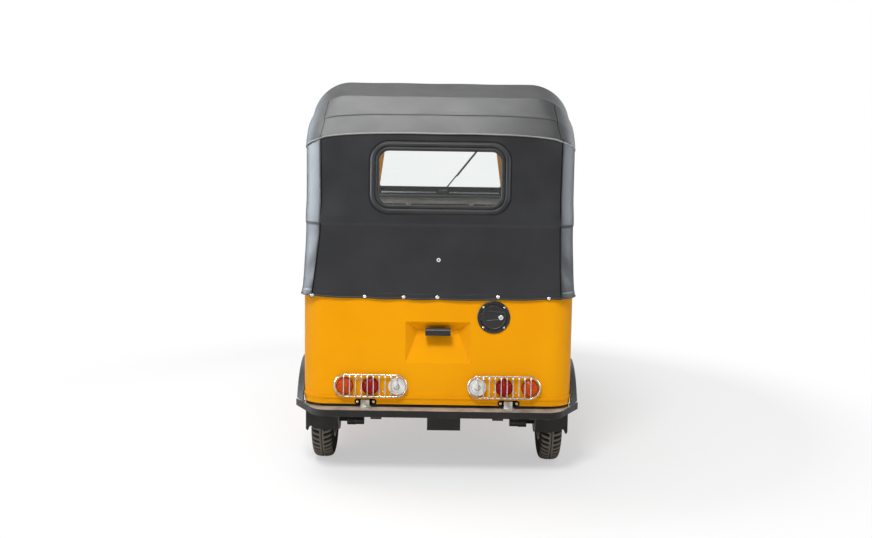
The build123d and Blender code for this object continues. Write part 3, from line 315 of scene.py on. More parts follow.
# %% Glass, lenses and metals
finishes.update({
    "glass": finish(
        "glass", (0.97, 0.985, 0.98), (0.95, 0.975, 0.97), (0.0, 0.02), grain=(3.0, 0.00001), patches=1.5,
        specular=0.5, transmission=1.0, ior=1.45,
    ),
    # The lenses' marked colours are darker: painted shade of the moulded optics, and of the bulb and
    # reflector behind the clear lens.
    "amber_lens": finish(
        "amber_lens", (0.66, 0.085, 0.006), (0.54, 0.060, 0.005), (0.12, 0.2), grain=(120.0, 0.0006),
        patches=30.0, specular=0.14, marked=(0.26, 0.022, 0.004),
    ),
    "red_lens": finish(
        "red_lens", (0.40, 0.006, 0.008), (0.32, 0.004, 0.006), (0.12, 0.2), grain=(120.0, 0.0006),
        patches=30.0, specular=0.14, marked=(0.12, 0.002, 0.003),
    ),
    "clear_lens": finish(
        "clear_lens", (0.80, 0.79, 0.77), (0.66, 0.65, 0.63), (0.1, 0.2), grain=(140.0, 0.0006),
        patches=34.0, specular=0.5, marked=(0.20, 0.19, 0.18),
    ),
    "bright_wire": finish(
        "bright_wire", (0.66, 0.63, 0.58), (0.48, 0.45, 0.41), (0.18, 0.34), patches=20.0, metallic=1.0,
    ),
    "bare_steel": finish(
        "bare_steel", (0.42, 0.41, 0.39), (0.27, 0.25, 0.23), (0.28, 0.5), patches=18.0, metallic=0.9,
        dust=0.3,
    ),
    "black_plastic": finish(
        "black_plastic", (0.013, 0.013, 0.013), (0.020, 0.020, 0.020), (0.28, 0.40), grain=(1600.0, 0.00025),
        patches=8.0, dust=0.12,
    ),
    "castings": finish(
        "castings", (0.020, 0.019, 0.018), (0.045, 0.041, 0.036), (0.55, 0.8), grain=(300.0, 0.001),
        patches=12.0, dust=0.3,
    ),
    # Heavy pale dust on the up-facing top: partly dust, partly a painted highlight along the top strip.
    "bumper_paint": finish(
        "bumper_paint", (0.013, 0.013, 0.013), (0.020, 0.019, 0.018), (0.40, 0.55), patches=9.0, dust=0.95,
        wear=0.35, under=(0.32, 0.30, 0.27), dust_and_sheen_tone=(0.53, 0.45, 0.38), specular=0.22,
    ),
    "zinc_bolts": finish(
        "zinc_bolts", (0.62, 0.46, 0.24), (0.45, 0.33, 0.18), (0.25, 0.4), patches=60.0, metallic=1.0,
    ),
    "strap_zinc": finish(
        "strap_zinc", (0.62, 0.60, 0.57), (0.30, 0.25, 0.20), (0.35, 0.55), patches=48.0, metallic=0.35,
    ),
    "nickel_snaps": finish(
        "nickel_snaps", (0.86, 0.85, 0.82), (0.74, 0.73, 0.70), (0.18, 0.3), patches=60.0, metallic=0.75,
    ),
    "chrome": finish(
        "chrome", (0.93, 0.93, 0.93), (0.88, 0.88, 0.88), (0.05, 0.12), grain=(200.0, 0.00001),
        patches=30.0, metallic=1.0,
    ),
    # Flat near white: the eyelet's pale trim, and a painted reflection of bright metal on the sill strip.
    "pale_trim_and_painted_reflection": finish(
        "pale_trim_and_painted_reflection", (0.88, 0.89, 0.90), (0.78, 0.79, 0.80), (0.25, 0.35), patches=40.0, specular=0.6,
    ),
    # The partition rail is bare steel; this flat light grey, with dust, is a painted reflection of its bright
    # metal.
    "rail_painted_reflection": finish(
        "rail_painted_reflection", (0.50, 0.48, 0.45), (0.38, 0.36, 0.33), (0.3, 0.45), patches=14.0, dust=0.3,
        dust_and_sheen_tone=(0.55, 0.50, 0.44),
    ),
    # Near black with almost no reflection: the colour of black parts, and painted shade in the seams and the
    # keyhole.
    "black_and_painted_shade": finish(
        "black_and_painted_shade", (0.004, 0.004, 0.004), (0.008, 0.008, 0.008), (0.7, 0.9), patches=20.0, specular=0.04,
    ),
})
print("finishes", sorted(finishes))

# %% [markdown]
# ## Vinyl for the hood and the seats
# Coated cloth has a pressed grain of small cells that is easy to see close up. Voronoi cells give the
# creases between the cells, and a second, coarser noise makes the cloth a little uneven. The hood's top
# faces carry a greyer tone than its upright back from the dust mask: partly dust, partly a painted sheen
# of the light from above on these faces.

# %% Pressed vinyl
vinyl_group, vinyl_in, vinyl_out = shader_group(
    "Pressed vinyl", [("Place", "Vector"), ("Cells per metre", "Float")],
    [("Height", "Float"), ("Patches", "Float")],
)
cells = put(
    vinyl_group, "ShaderNodeTexVoronoi",
    {"Vector": vinyl_in["Place"], "Scale": vinyl_in["Cells per metre"]}, feature="DISTANCE_TO_EDGE",
)
pillows = put(vinyl_group, "ShaderNodeMapRange", {"Value": cells.outputs["Distance"], "From Max": 0.12})
weather = put(vinyl_group, "ShaderNodeTexNoise", {"Vector": vinyl_in["Place"], "Scale": 5.5, "Detail": 5.0})
weathered = put(
    vinyl_group, "ShaderNodeMapRange", {"Value": weather.outputs["Fac"], "From Min": 0.35, "From Max": 0.65}
)
vinyl_group.links.new(pillows.outputs["Result"], vinyl_out["Height"])
vinyl_group.links.new(weathered.outputs["Result"], vinyl_out["Patches"])


# %% Vinyl builder
def vinyl(name, tone, second, rough, cells_per_metre, dust, dust_and_sheen_tone, specular):
    """Pressed cells as a bump, two dark tones by weathered patches, and dust on the top faces that also
    serves as painted sheen.
    """
    made = bpy.data.materials.new(name)
    made.use_nodes = True
    tree = made.node_tree
    shader = tree.nodes["Principled BSDF"]
    place = put(tree, "ShaderNodeTexCoord").outputs["Object"]
    skin = put(
        tree, "ShaderNodeGroup", {"Place": place, "Cells per metre": cells_per_metre}, node_tree=vinyl_group
    )
    dust_and_sheen_mask = put(
        tree, "ShaderNodeGroup", {"Place": place, "Amount": dust}, node_tree=dust_and_sheen_group
    ).outputs["Mask"]
    colour = blend_colour(tree, skin.outputs["Patches"], (*tone, 1.0), (*second, 1.0))
    tree.links.new(blend_colour(tree, dust_and_sheen_mask, colour, (*dust_and_sheen_tone, 1.0)), shader.inputs["Base Color"])
    roughness = put(
        tree, "ShaderNodeMapRange", {"Value": skin.outputs["Patches"], "To Min": rough[0], "To Max": rough[1]}
    )
    tree.links.new(roughness.outputs["Result"], shader.inputs["Roughness"])
    bump = put(
        tree, "ShaderNodeBump", {"Height": skin.outputs["Height"], "Distance": 0.00025, "Strength": 0.5}
    )
    tree.links.new(bump.outputs["Normal"], shader.inputs["Normal"])
    shader.inputs["Specular IOR Level"].default_value = specular
    return made


# %% Dress the CAD nodes
# The dust tone on the hood's top faces is partly dust, partly a painted sheen of the light from above.
finishes["hood_cloth"] = vinyl(
    "hood_cloth", (0.011, 0.011, 0.012), (0.015, 0.015, 0.017), (0.30, 0.40), cells_per_metre=520.0,
    dust=0.16, dust_and_sheen_tone=(0.16, 0.16, 0.15), specular=0.5,
)
# The welts' light grey is a painted highlight along the piping; the cloth itself is near black.
finishes["hood_welt_painted_highlight"] = vinyl(
    "hood_welt_painted_highlight", (0.20, 0.20, 0.20), (0.28, 0.28, 0.275), (0.30, 0.40), cells_per_metre=520.0,
    dust=0.16, dust_and_sheen_tone=(0.30, 0.30, 0.29), specular=0.5,
)
finishes["seat_vinyl"] = vinyl(
    "seat_vinyl", (0.024, 0.024, 0.027), (0.034, 0.034, 0.037), (0.4, 0.5), cells_per_metre=420.0,
    dust=0.12, dust_and_sheen_tone=(0.12, 0.11, 0.10), specular=0.4,
)
for entry in frame["record"]["subparts"]:
    dressed = nodes[entry["node"]].data.materials
    dressed.clear()
    dressed.append(finishes[entry["material_slot"]])
own_finishes = (
    ("mud_flaps", "flap_rubber"), ("rear_bumper", "bumper_paint"), ("partition_rail", "rail_painted_reflection"),
)
for node, own_finish in own_finishes:
    nodes[node].data.materials.clear()
    nodes[node].data.materials.append(finishes[own_finish])

# %% [markdown]
# ## Surfaces as arrays
# A piece is one or more grids of points. `grid` joins a table of points in quads, `tube` carries a
# circle along a path, `turned` spins a profile, and `repeated` sets the same shape at many places.
# None of them loops over single points: numpy works out every ring and every row at once.


# %% Grids, tubes and turned shapes
def grid(points, wrap_u=False, wrap_v=False):
    """A table of points, rows by columns, joined in quads; a wrapped side joins its end to its start."""
    points = np.asarray(points, float)
    rows, columns = points.shape[:2]
    u, v = np.meshgrid(np.arange(rows - (not wrap_u)), np.arange(columns - (not wrap_v)), indexing="ij")
    next_u = (u + 1) % rows
    next_v = (v + 1) % columns
    corners = [u * columns + v, next_u * columns + v, next_u * columns + next_v, u * columns + next_v]
    return points.reshape(-1, 3), np.stack(corners, -1).reshape(-1, 4)


def unit(vectors):
    """Vectors scaled to length one."""
    return vectors / np.linalg.norm(vectors, axis=-1, keepdims=True)


def tube(path, radius, side=(1.0, 0.0, 0.0), sides=10, loop=False):
    """A circle square to the path at each of its points; the ends shrink to a point and so close."""
    path = np.asarray(path, float)
    along = np.roll(path, -1, 0) - np.roll(path, 1, 0) if loop else np.gradient(path, axis=0)
    first = unit(np.cross(unit(along), side))
    second = np.cross(unit(along), first)
    turn = np.linspace(0.0, 2.0 * pi, sides, endpoint=False)[None, :, None]
    ring = np.cos(turn) * first[:, None] + np.sin(turn) * second[:, None]
    points = path[:, None] + ring * np.broadcast_to(radius, len(path))[:, None, None]
    if not loop:
        ends = np.repeat(path[[0, -1]][:, None], sides, 1)
        points = np.concatenate([ends[:1], points, ends[1:]])
    return grid(points, wrap_u=loop, wrap_v=True)


def turned(profile, centre, axis=(0.0, -1.0, 0.0), around=40):
    """A profile of radius and height, spun about an axis through the centre."""
    profile = np.asarray(profile, float)
    axis = unit(np.asarray(axis, float))
    helper = (0.0, 0.0, 1.0) if abs(axis[2]) < 0.9 else (1.0, 0.0, 0.0)
    first = unit(np.cross(axis, helper))
    second = np.cross(axis, first)
    turn = np.linspace(0.0, 2.0 * pi, around, endpoint=False)[:, None]
    ring = np.cos(turn) * first + np.sin(turn) * second
    points = profile[:, :1, None] * ring[None] + profile[:, 1:, None] * axis
    return grid(np.asarray(centre) + points, wrap_v=True)


def repeated(shell, offsets):
    """The same shell at every offset, as one shell."""
    points, quads = shell
    offsets = np.asarray(offsets, float)
    moved = (points[None] + offsets[:, None]).reshape(-1, 3)
    shifted = quads[None] + (np.arange(len(offsets)) * len(points))[:, None, None]
    return moved, shifted.reshape(-1, 4)


# %% Lines
def softened(points, times=2, loop=False):
    """Cuts each corner at a quarter and three quarters of its edges, so a polygon becomes a smooth line."""
    points = np.asarray(points, float)
    for _ in range(times):
        ahead = np.roll(points, -1, 0) if loop else points[1:]
        here = points if loop else points[:-1]
        cut = np.stack([0.75 * here + 0.25 * ahead, 0.25 * here + 0.75 * ahead], 1)
        cut = cut.reshape(-1, points.shape[1])
        points = cut if loop else np.concatenate([points[:1], cut, points[-1:]])
    return points


def evenly(points, count, loop=False):
    """The same line with its points spread evenly by length."""
    points = np.asarray(points, float)
    if loop:
        points = np.concatenate([points, points[:1]])
    reach = np.concatenate([[0.0], np.cumsum(np.linalg.norm(np.diff(points, axis=0), axis=1))])
    wanted = np.linspace(0.0, reach[-1], count, endpoint=not loop)
    return np.stack([np.interp(wanted, reach, points[:, k]) for k in range(points.shape[1])], -1)


def rounded_rectangle(half_width, half_height, corner, count):
    """Points spread evenly round a rectangle whose corners are quarter circles."""
    turn = np.linspace(0.0, pi / 2, 16)
    quarter = corner * np.stack([np.cos(turn), np.sin(turn)], -1)
    middle = np.array([half_width - corner, half_height - corner])
    sides = [quarter + middle, (quarter[::-1] * (-1, 1)) + middle * (-1, 1)]
    sides += [quarter * (-1, -1) - middle, (quarter[::-1] * (1, -1)) + middle * (1, -1)]
    return evenly(np.concatenate(sides), count, loop=True)


# %% From arrays to objects
def piece(name, shells, dress, body="chassis", closed=True, sharp=None, marks=None):
    """One object from shells; doubles merge at poles and seams, and closed shells face outwards."""
    starts = np.cumsum([0] + [len(points) for points, quads in shells])
    points = np.concatenate([points for points, quads in shells])
    quads = np.concatenate([quads + start for (_, quads), start in zip(shells, starts)])
    mesh = bpy.data.meshes.new(name)
    mesh.from_pydata(points.tolist(), [], quads.tolist())
    if marks is not None:
        mark = mesh.attributes.new("mark", "FLOAT", "POINT")
        mark.data.foreach_set("value", np.ravel(marks).astype(np.float32))
    work = bmesh.new()
    work.from_mesh(mesh)
    bmesh.ops.remove_doubles(work, verts=work.verts, dist=1e-6)
    if closed:
        bmesh.ops.recalc_face_normals(work, faces=work.faces)
    work.to_mesh(mesh)
    work.free()
    mesh.polygons.foreach_set("use_smooth", np.ones(len(mesh.polygons), bool))
    if sharp is not None:
        mesh.set_sharp_from_angle(angle=radians(sharp))
    made = bpy.data.objects.new(name, mesh)
    bpy.context.scene.collection.objects.link(made)
    mesh.materials.append(dress)
    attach(made, body)
    print(name, len(mesh.polygons), "faces")
    return made


def smoothstep(value, low, high):
    """Rises from 0 at low to 1 at high, level at both ends."""
    share = np.clip((value - low) / (high - low), 0.0, 1.0)
    return share * share * (3.0 - 2.0 * share)


# %% [markdown]
# ## The hood's top
# The cover is stretched over bows, so it is straight between them and creases over each one. It is
# built from sections that all have the same number of points: up one side, over the shoulder, across
# and down the other side. The last two sections aren't flat: the seam and the rear edge run round the
# rounded corners of the back, and the edge dips towards them. Straight lines between the sections give
# the facets, and a light smoothing along them rounds the creases as cloth does.

# %% Hood sections
side_steps, shoulder_steps, level_steps = 10, 24, 30
side_share = np.linspace(0.0, 1.0, side_steps, endpoint=False)
shoulder_turn = np.linspace(0.0, pi / 2, shoulder_steps, endpoint=False)
level_share = np.linspace(0.0, 1.0, level_steps)
lip_half, lip_corner, lip_y = 0.606, 0.092, -1.2435
lip_low, lip_corner_rise, lip_crown = 1.485, 0.049, 0.020


def whole_section(left):
    """The left half of a section and its mirror image, from one eave to the other."""
    return np.concatenate([left, left[-2::-1] * (-1.0, 1.0, 1.0)])


def bow_section(y, half, top, shoulder, eave):
    """Up the side, a quarter circle over the shoulder, then level to the middle with a slight crown."""
    x = np.concatenate([
        np.full(side_steps, -half),
        -half + shoulder * (1.0 - np.cos(shoulder_turn)),
        -(half - shoulder) * (1.0 - level_share),
    ])
    z = np.concatenate([
        eave + (top - shoulder - eave) * side_share,
        top - shoulder * (1.0 - np.sin(shoulder_turn)),
        np.full(level_steps, top),
    ])
    return whole_section(np.stack([x, np.full_like(x, y), z], -1))


def lip_section():
    """Along the side, round the corner in plan, then across the back; the height dips to the corners."""
    x = np.concatenate([
        np.full(side_steps, -lip_half),
        -(lip_half - lip_corner) - lip_corner * np.cos(shoulder_turn),
        -(lip_half - lip_corner) * (1.0 - level_share),
    ])
    y = np.concatenate([
        lip_y + lip_corner + 0.07 * (1.0 - side_share),
        lip_y + lip_corner * (1.0 - np.sin(shoulder_turn)),
        np.full(level_steps, lip_y),
    ])
    z = np.concatenate([
        np.full(side_steps, lip_low),
        lip_low + lip_corner_rise * shoulder_turn / (pi / 2),
        lip_low + lip_corner_rise + lip_crown * (1.0 - (1.0 - level_share) ** 4),
    ])
    return whole_section(np.stack([x, y, z], -1))


# %% Bows and sag
crease = bow_section(-0.990, 0.620, 1.723, 0.190, 1.484)
lip = lip_section()
outward = np.array([0.0, -0.57, 0.82])
seam = 0.56 * lip + 0.44 * crease + outward * 0.007
hood_sections = np.stack([
    # y, half width, top, radius of the shoulder, eave
    bow_section(0.7777, 0.412, 1.7102, 0.130, 1.5602),
    bow_section(0.150, 0.606, 1.790, 0.185, 1.500),
    bow_section(-0.2435, 0.618, 1.800, 0.190, 1.490),
    bow_section(-0.760, 0.620, 1.797, 0.190, 1.486),
    crease,
    seam,
    lip,
])
span_steps = (32, 24, 28, 20, 16, 16)
span_sag = (0.007, 0.006, 0.007, 0.003, 0.0, 0.0)


def stretched(sections, steps, sags):
    """Lines from section to section, closely stepped at both ends, each sagging inwards half-way."""
    middle = np.array([0.0, 0.0, 1.35])
    rows = []
    for start, end, count, sag in zip(sections[:-1], sections[1:], steps, sags):
        share = (0.5 - 0.5 * np.cos(np.linspace(0.0, pi, count, endpoint=False)))[:, None, None]
        span = start * (1.0 - share) + end * share
        inward = unit(middle - span * (1.0, 0.0, 1.0))
        rows.append(span + inward * sag * 4.0 * share * (1.0 - share))
    rows.append(sections[-1:])
    return np.concatenate(rows)


# %% Hood top
hood_rows = stretched(hood_sections, span_steps, span_sag)
for _ in range(2):
    hood_rows[1:-1] = 0.25 * hood_rows[:-2] + 0.5 * hood_rows[1:-1] + 0.25 * hood_rows[2:]
seam_row, crease_row = sum(span_steps[:5]), sum(span_steps[:4])
column = np.arange(hood_rows.shape[1])
on_slope = smoothstep(np.minimum(column, column[::-1]), side_steps + 15.0, side_steps + 21.0)
lap_rise = np.array([0.0022, 0.0024, 0.0018, 0.0009, 0.0002])
hood_rows[seam_row - 1 - np.arange(5)] += lap_rise[:, None, None] * on_slope[None, :, None] * outward
ripple = 0.0008 * np.sin(hood_rows[..., 0] * 21.0 + hood_rows[..., 1] * 9.0)
ripple *= np.sin(hood_rows[..., 1] * 31.0)
hood_rows[..., 2] += ripple * smoothstep(hood_rows[..., 2], 1.5, 1.6)
hood_top = piece(
    "hood_top", [grid(hood_rows[:, ::-1])], finishes["hood_cloth"], closed=False
)
cloth_wall = hood_top.modifiers.new("cloth_wall", "SOLIDIFY")
cloth_wall.thickness = 0.0025
cloth_wall.offset = -1.0
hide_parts("canopy_roof")

# %% [markdown]
# ## Piping and seams of the top
# The edge of the cover is bound with a round welt, a finer one marks the crease over the rear bow, and
# two panels of the rear slope lap over a thin seam. The welts' light grey is a painted highlight along
# the piping, and the seams are near-black tubes, painted shade in the folds. All follow lines that the
# cover already has: its last row, its two outer columns, the crease's row and the seam's row. Two more
# seams run down the corners, across the grid from the crease to the edge.

# %% Welts
eaves = [hood_rows[:, column] for column in (0, -1)]
welts = [tube(hood_rows[-1] + (0.0, -0.001, 0.0), 0.0034, side=(0.0, 0.35, 1.0))]
welts += [tube(eave, 0.0032, side=(0.0, 0.0, 1.0)) for eave in eaves]
welts += [tube(hood_rows[0], 0.0034, side=(0.0, 1.0, 0.0))]
on_crease = slice(side_steps + 9, -side_steps - 9)
crease_line = hood_rows[crease_row, on_crease] + outward * 0.0005
welts += [tube(crease_line, 0.0018, side=(0.0, 0.82, 0.57), sides=8)]
piece("hood_piping", welts, finishes["hood_welt_painted_highlight"])


# %% Seams of the top
def on_grid(table, rows, columns):
    """Values of a table at fractional rows and columns, straight between their neighbours."""
    row, column = np.floor(rows).astype(int), np.floor(columns).astype(int)
    next_row, next_column = np.minimum(row + 1, len(table) - 1), column + 1
    down, over = (rows - row)[:, None], (columns - column)[:, None]
    near = table[row, column] * (1.0 - over) + table[row, next_column] * over
    far = table[next_row, column] * (1.0 - over) + table[next_row, next_column] * over
    return near * (1.0 - down) + far * down


last_column = hood_rows.shape[1] - 1
corner_rows = np.linspace(crease_row, len(hood_rows) - 1.001, 40)
corner_columns = side_steps + np.linspace(16.0, 20.5, 40)
hood_faces = unit(np.cross(np.gradient(hood_rows, axis=1), np.gradient(hood_rows, axis=0)))
hood_faces *= np.sign(hood_faces[..., 2:] + 1e-9)
corner_seams = [
    on_grid(hood_rows, corner_rows, columns) + 0.0008 * on_grid(hood_faces, corner_rows, columns)
    for columns in (corner_columns, last_column - corner_columns)
]
across_slope = slice(side_steps + 18, -side_steps - 18)
piece(
    "slope_seam",
    [tube(hood_rows[seam_row, across_slope] + outward * 0.0006, 0.0020, side=(0.0, 0.82, 0.57), sides=8)]
    + [tube(line, 0.0024, side=(1.0, 0.0, 0.0), sides=8) for line in corner_seams],
    finishes["black_and_painted_shade"],
)

# %% [markdown]
# ## The rear curtain
# One sheet hangs from under the top's edge: along one side, round the corner, across the back and
# along the other side. Its plan at each height is a rounded U whose width and depth change with height,
# so the sheet narrows to a waist, leans in above it and flares to the hem. Snaps hold the hem to the
# body, and between them it stands off and dips a little.

# %% Curtain by height
snap_x = np.array([-0.568, -0.332, -0.157, -0.005, 0.267, 0.495])
snap_z = np.array([0.827, 0.824, 0.824, 0.824, 0.830, 0.826])
hem_z, waist_z, window_z, curtain_top_z = 0.815, 1.150, 1.357, 1.545
waist_back, curtain_top_back = -1.2663, -1.2395
snap_pull, hem_fade, hem_thick = 0.0042, 0.055, 0.0018
flank_steps, bend_steps, back_steps = 36, 26, 120
flank_share = np.linspace(0.0, 1.0, flank_steps, endpoint=False)
bend_turn = np.linspace(0.0, pi / 2, bend_steps, endpoint=False)
back_share = np.linspace(-1.0, 1.0, back_steps + 1)


def curtain_half(z):
    """Half width by height: the waist is narrowest, the top a little wider, and the hem flares."""
    flare = np.clip((waist_z - z) / (waist_z - hem_z), 0.0, 1.0) ** 1.8
    return 0.6035 + 0.018 * flare + 0.001 * smoothstep(z, 1.3, 1.5)


def curtain_back(z):
    """The back's y by height: upright below the waist, leaning forward above it, with a soft crease."""
    lean = np.clip((z - waist_z) / (curtain_top_z - waist_z), 0.0, 1.2)
    return waist_back + (curtain_top_back - waist_back) * lean


def hem_height(x):
    """The hem is lowest in the middle of the back and rises towards the corners."""
    return hem_z + 0.014 * np.clip(np.abs(x) / 0.61, 0.0, 1.0) ** 2


def between_snaps(x):
    """0 at each snap and 1 half-way between two."""
    edges = np.concatenate([[-0.70], snap_x, [0.66]])
    index = np.clip(np.searchsorted(edges, x) - 1, 0, len(edges) - 2)
    share = (x - edges[index]) / (edges[index + 1] - edges[index])
    return np.sin(pi * np.clip(share, 0.0, 1.0))


seam_lines = {
    # side: heights, and the seam's x at each of them
    -1: ((hem_z, 0.857, 0.98, 1.10, 1.253, 1.514), (-0.571, -0.565, -0.548, -0.533, -0.527, -0.532)),
    1: ((hem_z, 0.855, 0.98, 1.10, 1.268, 1.512), (0.552, 0.547, 0.541, 0.538, 0.537, 0.541)),
}


def seam_place(z, side):
    """The x of the upright seam by height, left for -1 and right for 1: widest at the hem."""
    return np.interp(z, *seam_lines[side])


# %% Curtain plan
corner_share = np.linspace(0.0, 1.0, 401)
corner_angle = np.radians(np.interp(corner_share, (0.0, 0.26, 0.93, 1.0), (90.0, 58.0, 30.0, 0.0)))
corner_across = 1.0 - np.cumsum(np.cos(corner_angle)) / np.cos(corner_angle).sum()
corner_along = 1.0 - np.cumsum(np.sin(corner_angle)) / np.sin(corner_angle).sum()
corner_ratio = float(np.sin(corner_angle).sum() / np.cos(corner_angle).sum())
rise = np.concatenate([np.linspace(0.0, 0.05, 14, endpoint=False), np.linspace(0.05, 1.0, 110)])[:, None]
flat_x = np.concatenate([
    np.full(flank_steps + bend_steps, -0.6), 0.52 * back_share, np.full(bend_steps + flank_steps, 0.6)
])
under_lip = lip_low + 0.002
lip_rise = np.concatenate([
    np.full(flank_steps, under_lip),
    under_lip + lip_corner_rise * bend_turn / (pi / 2),
    under_lip + lip_corner_rise + lip_crown * (1.0 - back_share ** 4),
    under_lip + lip_corner_rise * (1.0 - bend_turn / (pi / 2)),
    np.full(flank_steps, under_lip),
])
low = hem_height(flat_x)
curtain_z = low + (lip_rise - low) * rise
half = curtain_half(curtain_z)
back = curtain_back(curtain_z)
plan_x, plan_y = np.empty_like(curtain_z), np.empty_like(curtain_z)
left, right = slice(0, flank_steps), slice(-flank_steps, None)
left_bend = slice(flank_steps, flank_steps + bend_steps)
right_bend = slice(-flank_steps - bend_steps, -flank_steps)
middle = slice(flank_steps + bend_steps, -flank_steps - bend_steps)
front_y = -0.6375
turn_left = half + seam_place(curtain_z, -1)
turn_right = half - seam_place(curtain_z, 1)
bend_share = np.linspace(0.0, 1.0, bend_steps, endpoint=False)
bend_across = np.interp(bend_share, corner_share, corner_across)
bend_along = np.interp(bend_share, corner_share, corner_along)
plan_x[:, left], plan_x[:, right] = -half[:, left], half[:, right]
plan_y[:, left] = front_y + (back[:, left] + corner_ratio * turn_left[:, left] - front_y) * flank_share
plan_y[:, right] = front_y + (back[:, right] + corner_ratio * turn_right[:, right] - front_y) * (
    1.0 - flank_share - flank_share[1]
)
plan_x[:, left_bend] = -half[:, left_bend] + turn_left[:, left_bend] * (1.0 - bend_across)
plan_y[:, left_bend] = back[:, left_bend] + corner_ratio * turn_left[:, left_bend] * bend_along
later = bend_share + bend_share[1]
late_across = np.interp(1.0 - later, corner_share, corner_across)
late_along = np.interp(1.0 - later, corner_share, corner_along)
plan_x[:, right_bend] = half[:, right_bend] - turn_right[:, right_bend] * (1.0 - late_across)
plan_y[:, right_bend] = back[:, right_bend] + corner_ratio * turn_right[:, right_bend] * late_along
plan_x[:, middle] = np.where(
    back_share < 0, half[:, middle] - turn_left[:, middle], half[:, middle] - turn_right[:, middle]
) * back_share
plan_y[:, middle] = back[:, middle]
print("curtain plan", plan_x.shape)

# %% Curtain folds
over_hem = curtain_z - low
away = np.zeros_like(curtain_z)
on_back = smoothstep(-plan_y, 1.17, 1.25)
fading = np.exp(-(over_hem / hem_fade) ** 2) * on_back
away += fading * (snap_pull * between_snaps(plan_x) - snap_pull)
away += hem_thick * smoothstep(over_hem, 0.027, 0.022) * smoothstep(over_hem, -0.001, 0.004)
folds = np.sin(60.0 * (plan_x * np.sign(plan_x) * 0.7 + curtain_z * 0.55))
folds *= np.exp(-((curtain_z - 0.94) / 0.09) ** 2)
away += 0.0022 * folds * np.exp(-((np.abs(plan_x) - 0.575) / 0.03) ** 2)
away += 0.0030 * smoothstep(curtain_z, 1.146, 1.153) * smoothstep(curtain_z, 1.27, 1.17)
away += 0.0012 * np.sin(plan_x * 7.0 + 1.0) * np.sin(curtain_z * 11.0) * on_back
pucker = np.hypot(plan_x + 0.011, curtain_z - 1.141)
away -= 0.002 * np.exp(-((pucker / 0.009) ** 2)) * on_back
facing_x = np.gradient(plan_y, axis=1)
facing_y = -np.gradient(plan_x, axis=1)
length = np.hypot(facing_x, facing_y)
curtain_z = curtain_z - 0.003 * fading * between_snaps(plan_x)
curtain_rows = np.stack([
    plan_x + facing_x / length * away, plan_y + facing_y / length * away, curtain_z
], -1)
hem_ends = plan_x[0].min(), plan_x[0].max()
print("curtain grid", curtain_rows.shape, "hem from", [round(float(x), 3) for x in hem_ends])

# %% [markdown]
# The window is cut from the curtain after the grid is made: quads inside a rounded rectangle go, and
# the points left along the cut move onto the rectangle itself, so the edge is clean. The rubber frame
# then covers the cut on both sides.

# %% Window plane
window_half_width, window_half_height, window_corner = 0.285, 0.137, 0.058
window_lean = np.arctan2(0.0263, 0.415)
window_origin = np.array([0.0, waist_back + (window_z - waist_z) * np.tan(window_lean), window_z])
window_up = np.array([0.0, np.sin(window_lean), np.cos(window_lean)])
window_out = np.array([0.0, -np.cos(window_lean), np.sin(window_lean)])


def in_window(points):
    """Signed distance from a rounded rectangle in the window's own plane; negative is inside."""
    local_x = points[..., 0]
    local_z = (points - window_origin) @ window_up
    past_x = np.abs(local_x) - (window_half_width - window_corner)
    past_z = np.abs(local_z) - (window_half_height - window_corner)
    reach = np.stack([past_x, past_z], -1)
    outside = np.linalg.norm(np.maximum(reach, 0.0), axis=-1)
    distance = outside + np.minimum(reach.max(-1), 0.0) - window_corner
    return np.where(points[..., 1] < -1.15, distance, 1.0)


# %% Window cut
curtain_points, curtain_quads = grid(curtain_rows)
keep = in_window(curtain_points[curtain_quads].mean(1)) > 0.0
used = curtain_quads[keep]
rim = np.intersect1d(np.unique(used), np.unique(curtain_quads[~keep]))
for _ in range(3):
    step = 1e-5
    far = in_window(curtain_points[rim])
    slope_x = in_window(curtain_points[rim] + (step, 0.0, 0.0)) - far
    slope_z = in_window(curtain_points[rim] + window_up * step) - far
    curtain_points[rim] -= (far / step)[:, None] * (
        slope_x[:, None] * np.array([1.0, 0.0, 0.0]) + slope_z[:, None] * window_up
    )
kept, renumbered = np.unique(used, return_inverse=True)
curtain = piece(
    "hood_curtain", [(curtain_points[kept], renumbered.reshape(-1, 4)[:, ::-1])], finishes["hood_cloth"],
    closed=False,
)
curtain_wall = curtain.modifiers.new("cloth_wall", "SOLIDIFY")
curtain_wall.thickness = 0.0025
curtain_wall.offset = -1.0
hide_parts("canopy_back")
print("curtain cut at", len(rim), "points")

# %% [markdown]
# ## The window's rubber frame
# The glass sits in an extruded rubber section with two lips and a groove for its locking strip. A
# closed profile, given as distance outwards and height above the cloth, is carried round the rounded
# rectangle of the opening. The row of stitches outside it holds the cloth's doubled edge.

# %% Gasket
frame_count = 220
frame_line = rounded_rectangle(0.301, 0.149, 0.074, frame_count)
frame_along = np.roll(frame_line, -1, 0) - np.roll(frame_line, 1, 0)
frame_away = unit(np.stack([frame_along[:, 1], -frame_along[:, 0]], -1))
lips = softened(
    [
        (-0.0303, -0.0045), (-0.0303, 0.0052), (-0.0268, 0.0098), (-0.0195, 0.0102), (-0.0150, 0.0085),
        (-0.0132, 0.0042), (-0.0112, 0.0044), (-0.0092, 0.0092), (-0.0040, 0.0118), (0.0030, 0.0112),
        (0.0085, 0.0078), (0.0110, 0.0034), (0.0112, 0.0006), (-0.0080, 0.0000), (-0.0095, -0.0110),
        (-0.0260, -0.0110),
    ],
    2, loop=True,
)
frame_flat = frame_line[:, None] + frame_away[:, None] * lips[None, :, :1]
gasket_rows = (
    window_origin + frame_flat[..., :1] * np.array([1.0, 0.0, 0.0]) + frame_flat[..., 1:] * window_up
    + lips[None, :, 1:] * window_out
)
gasket_shell = grid(gasket_rows, wrap_u=True, wrap_v=True)
gasket = piece("window_gasket", [gasket_shell], finishes["rubber"])
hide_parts("rear_window_seal")

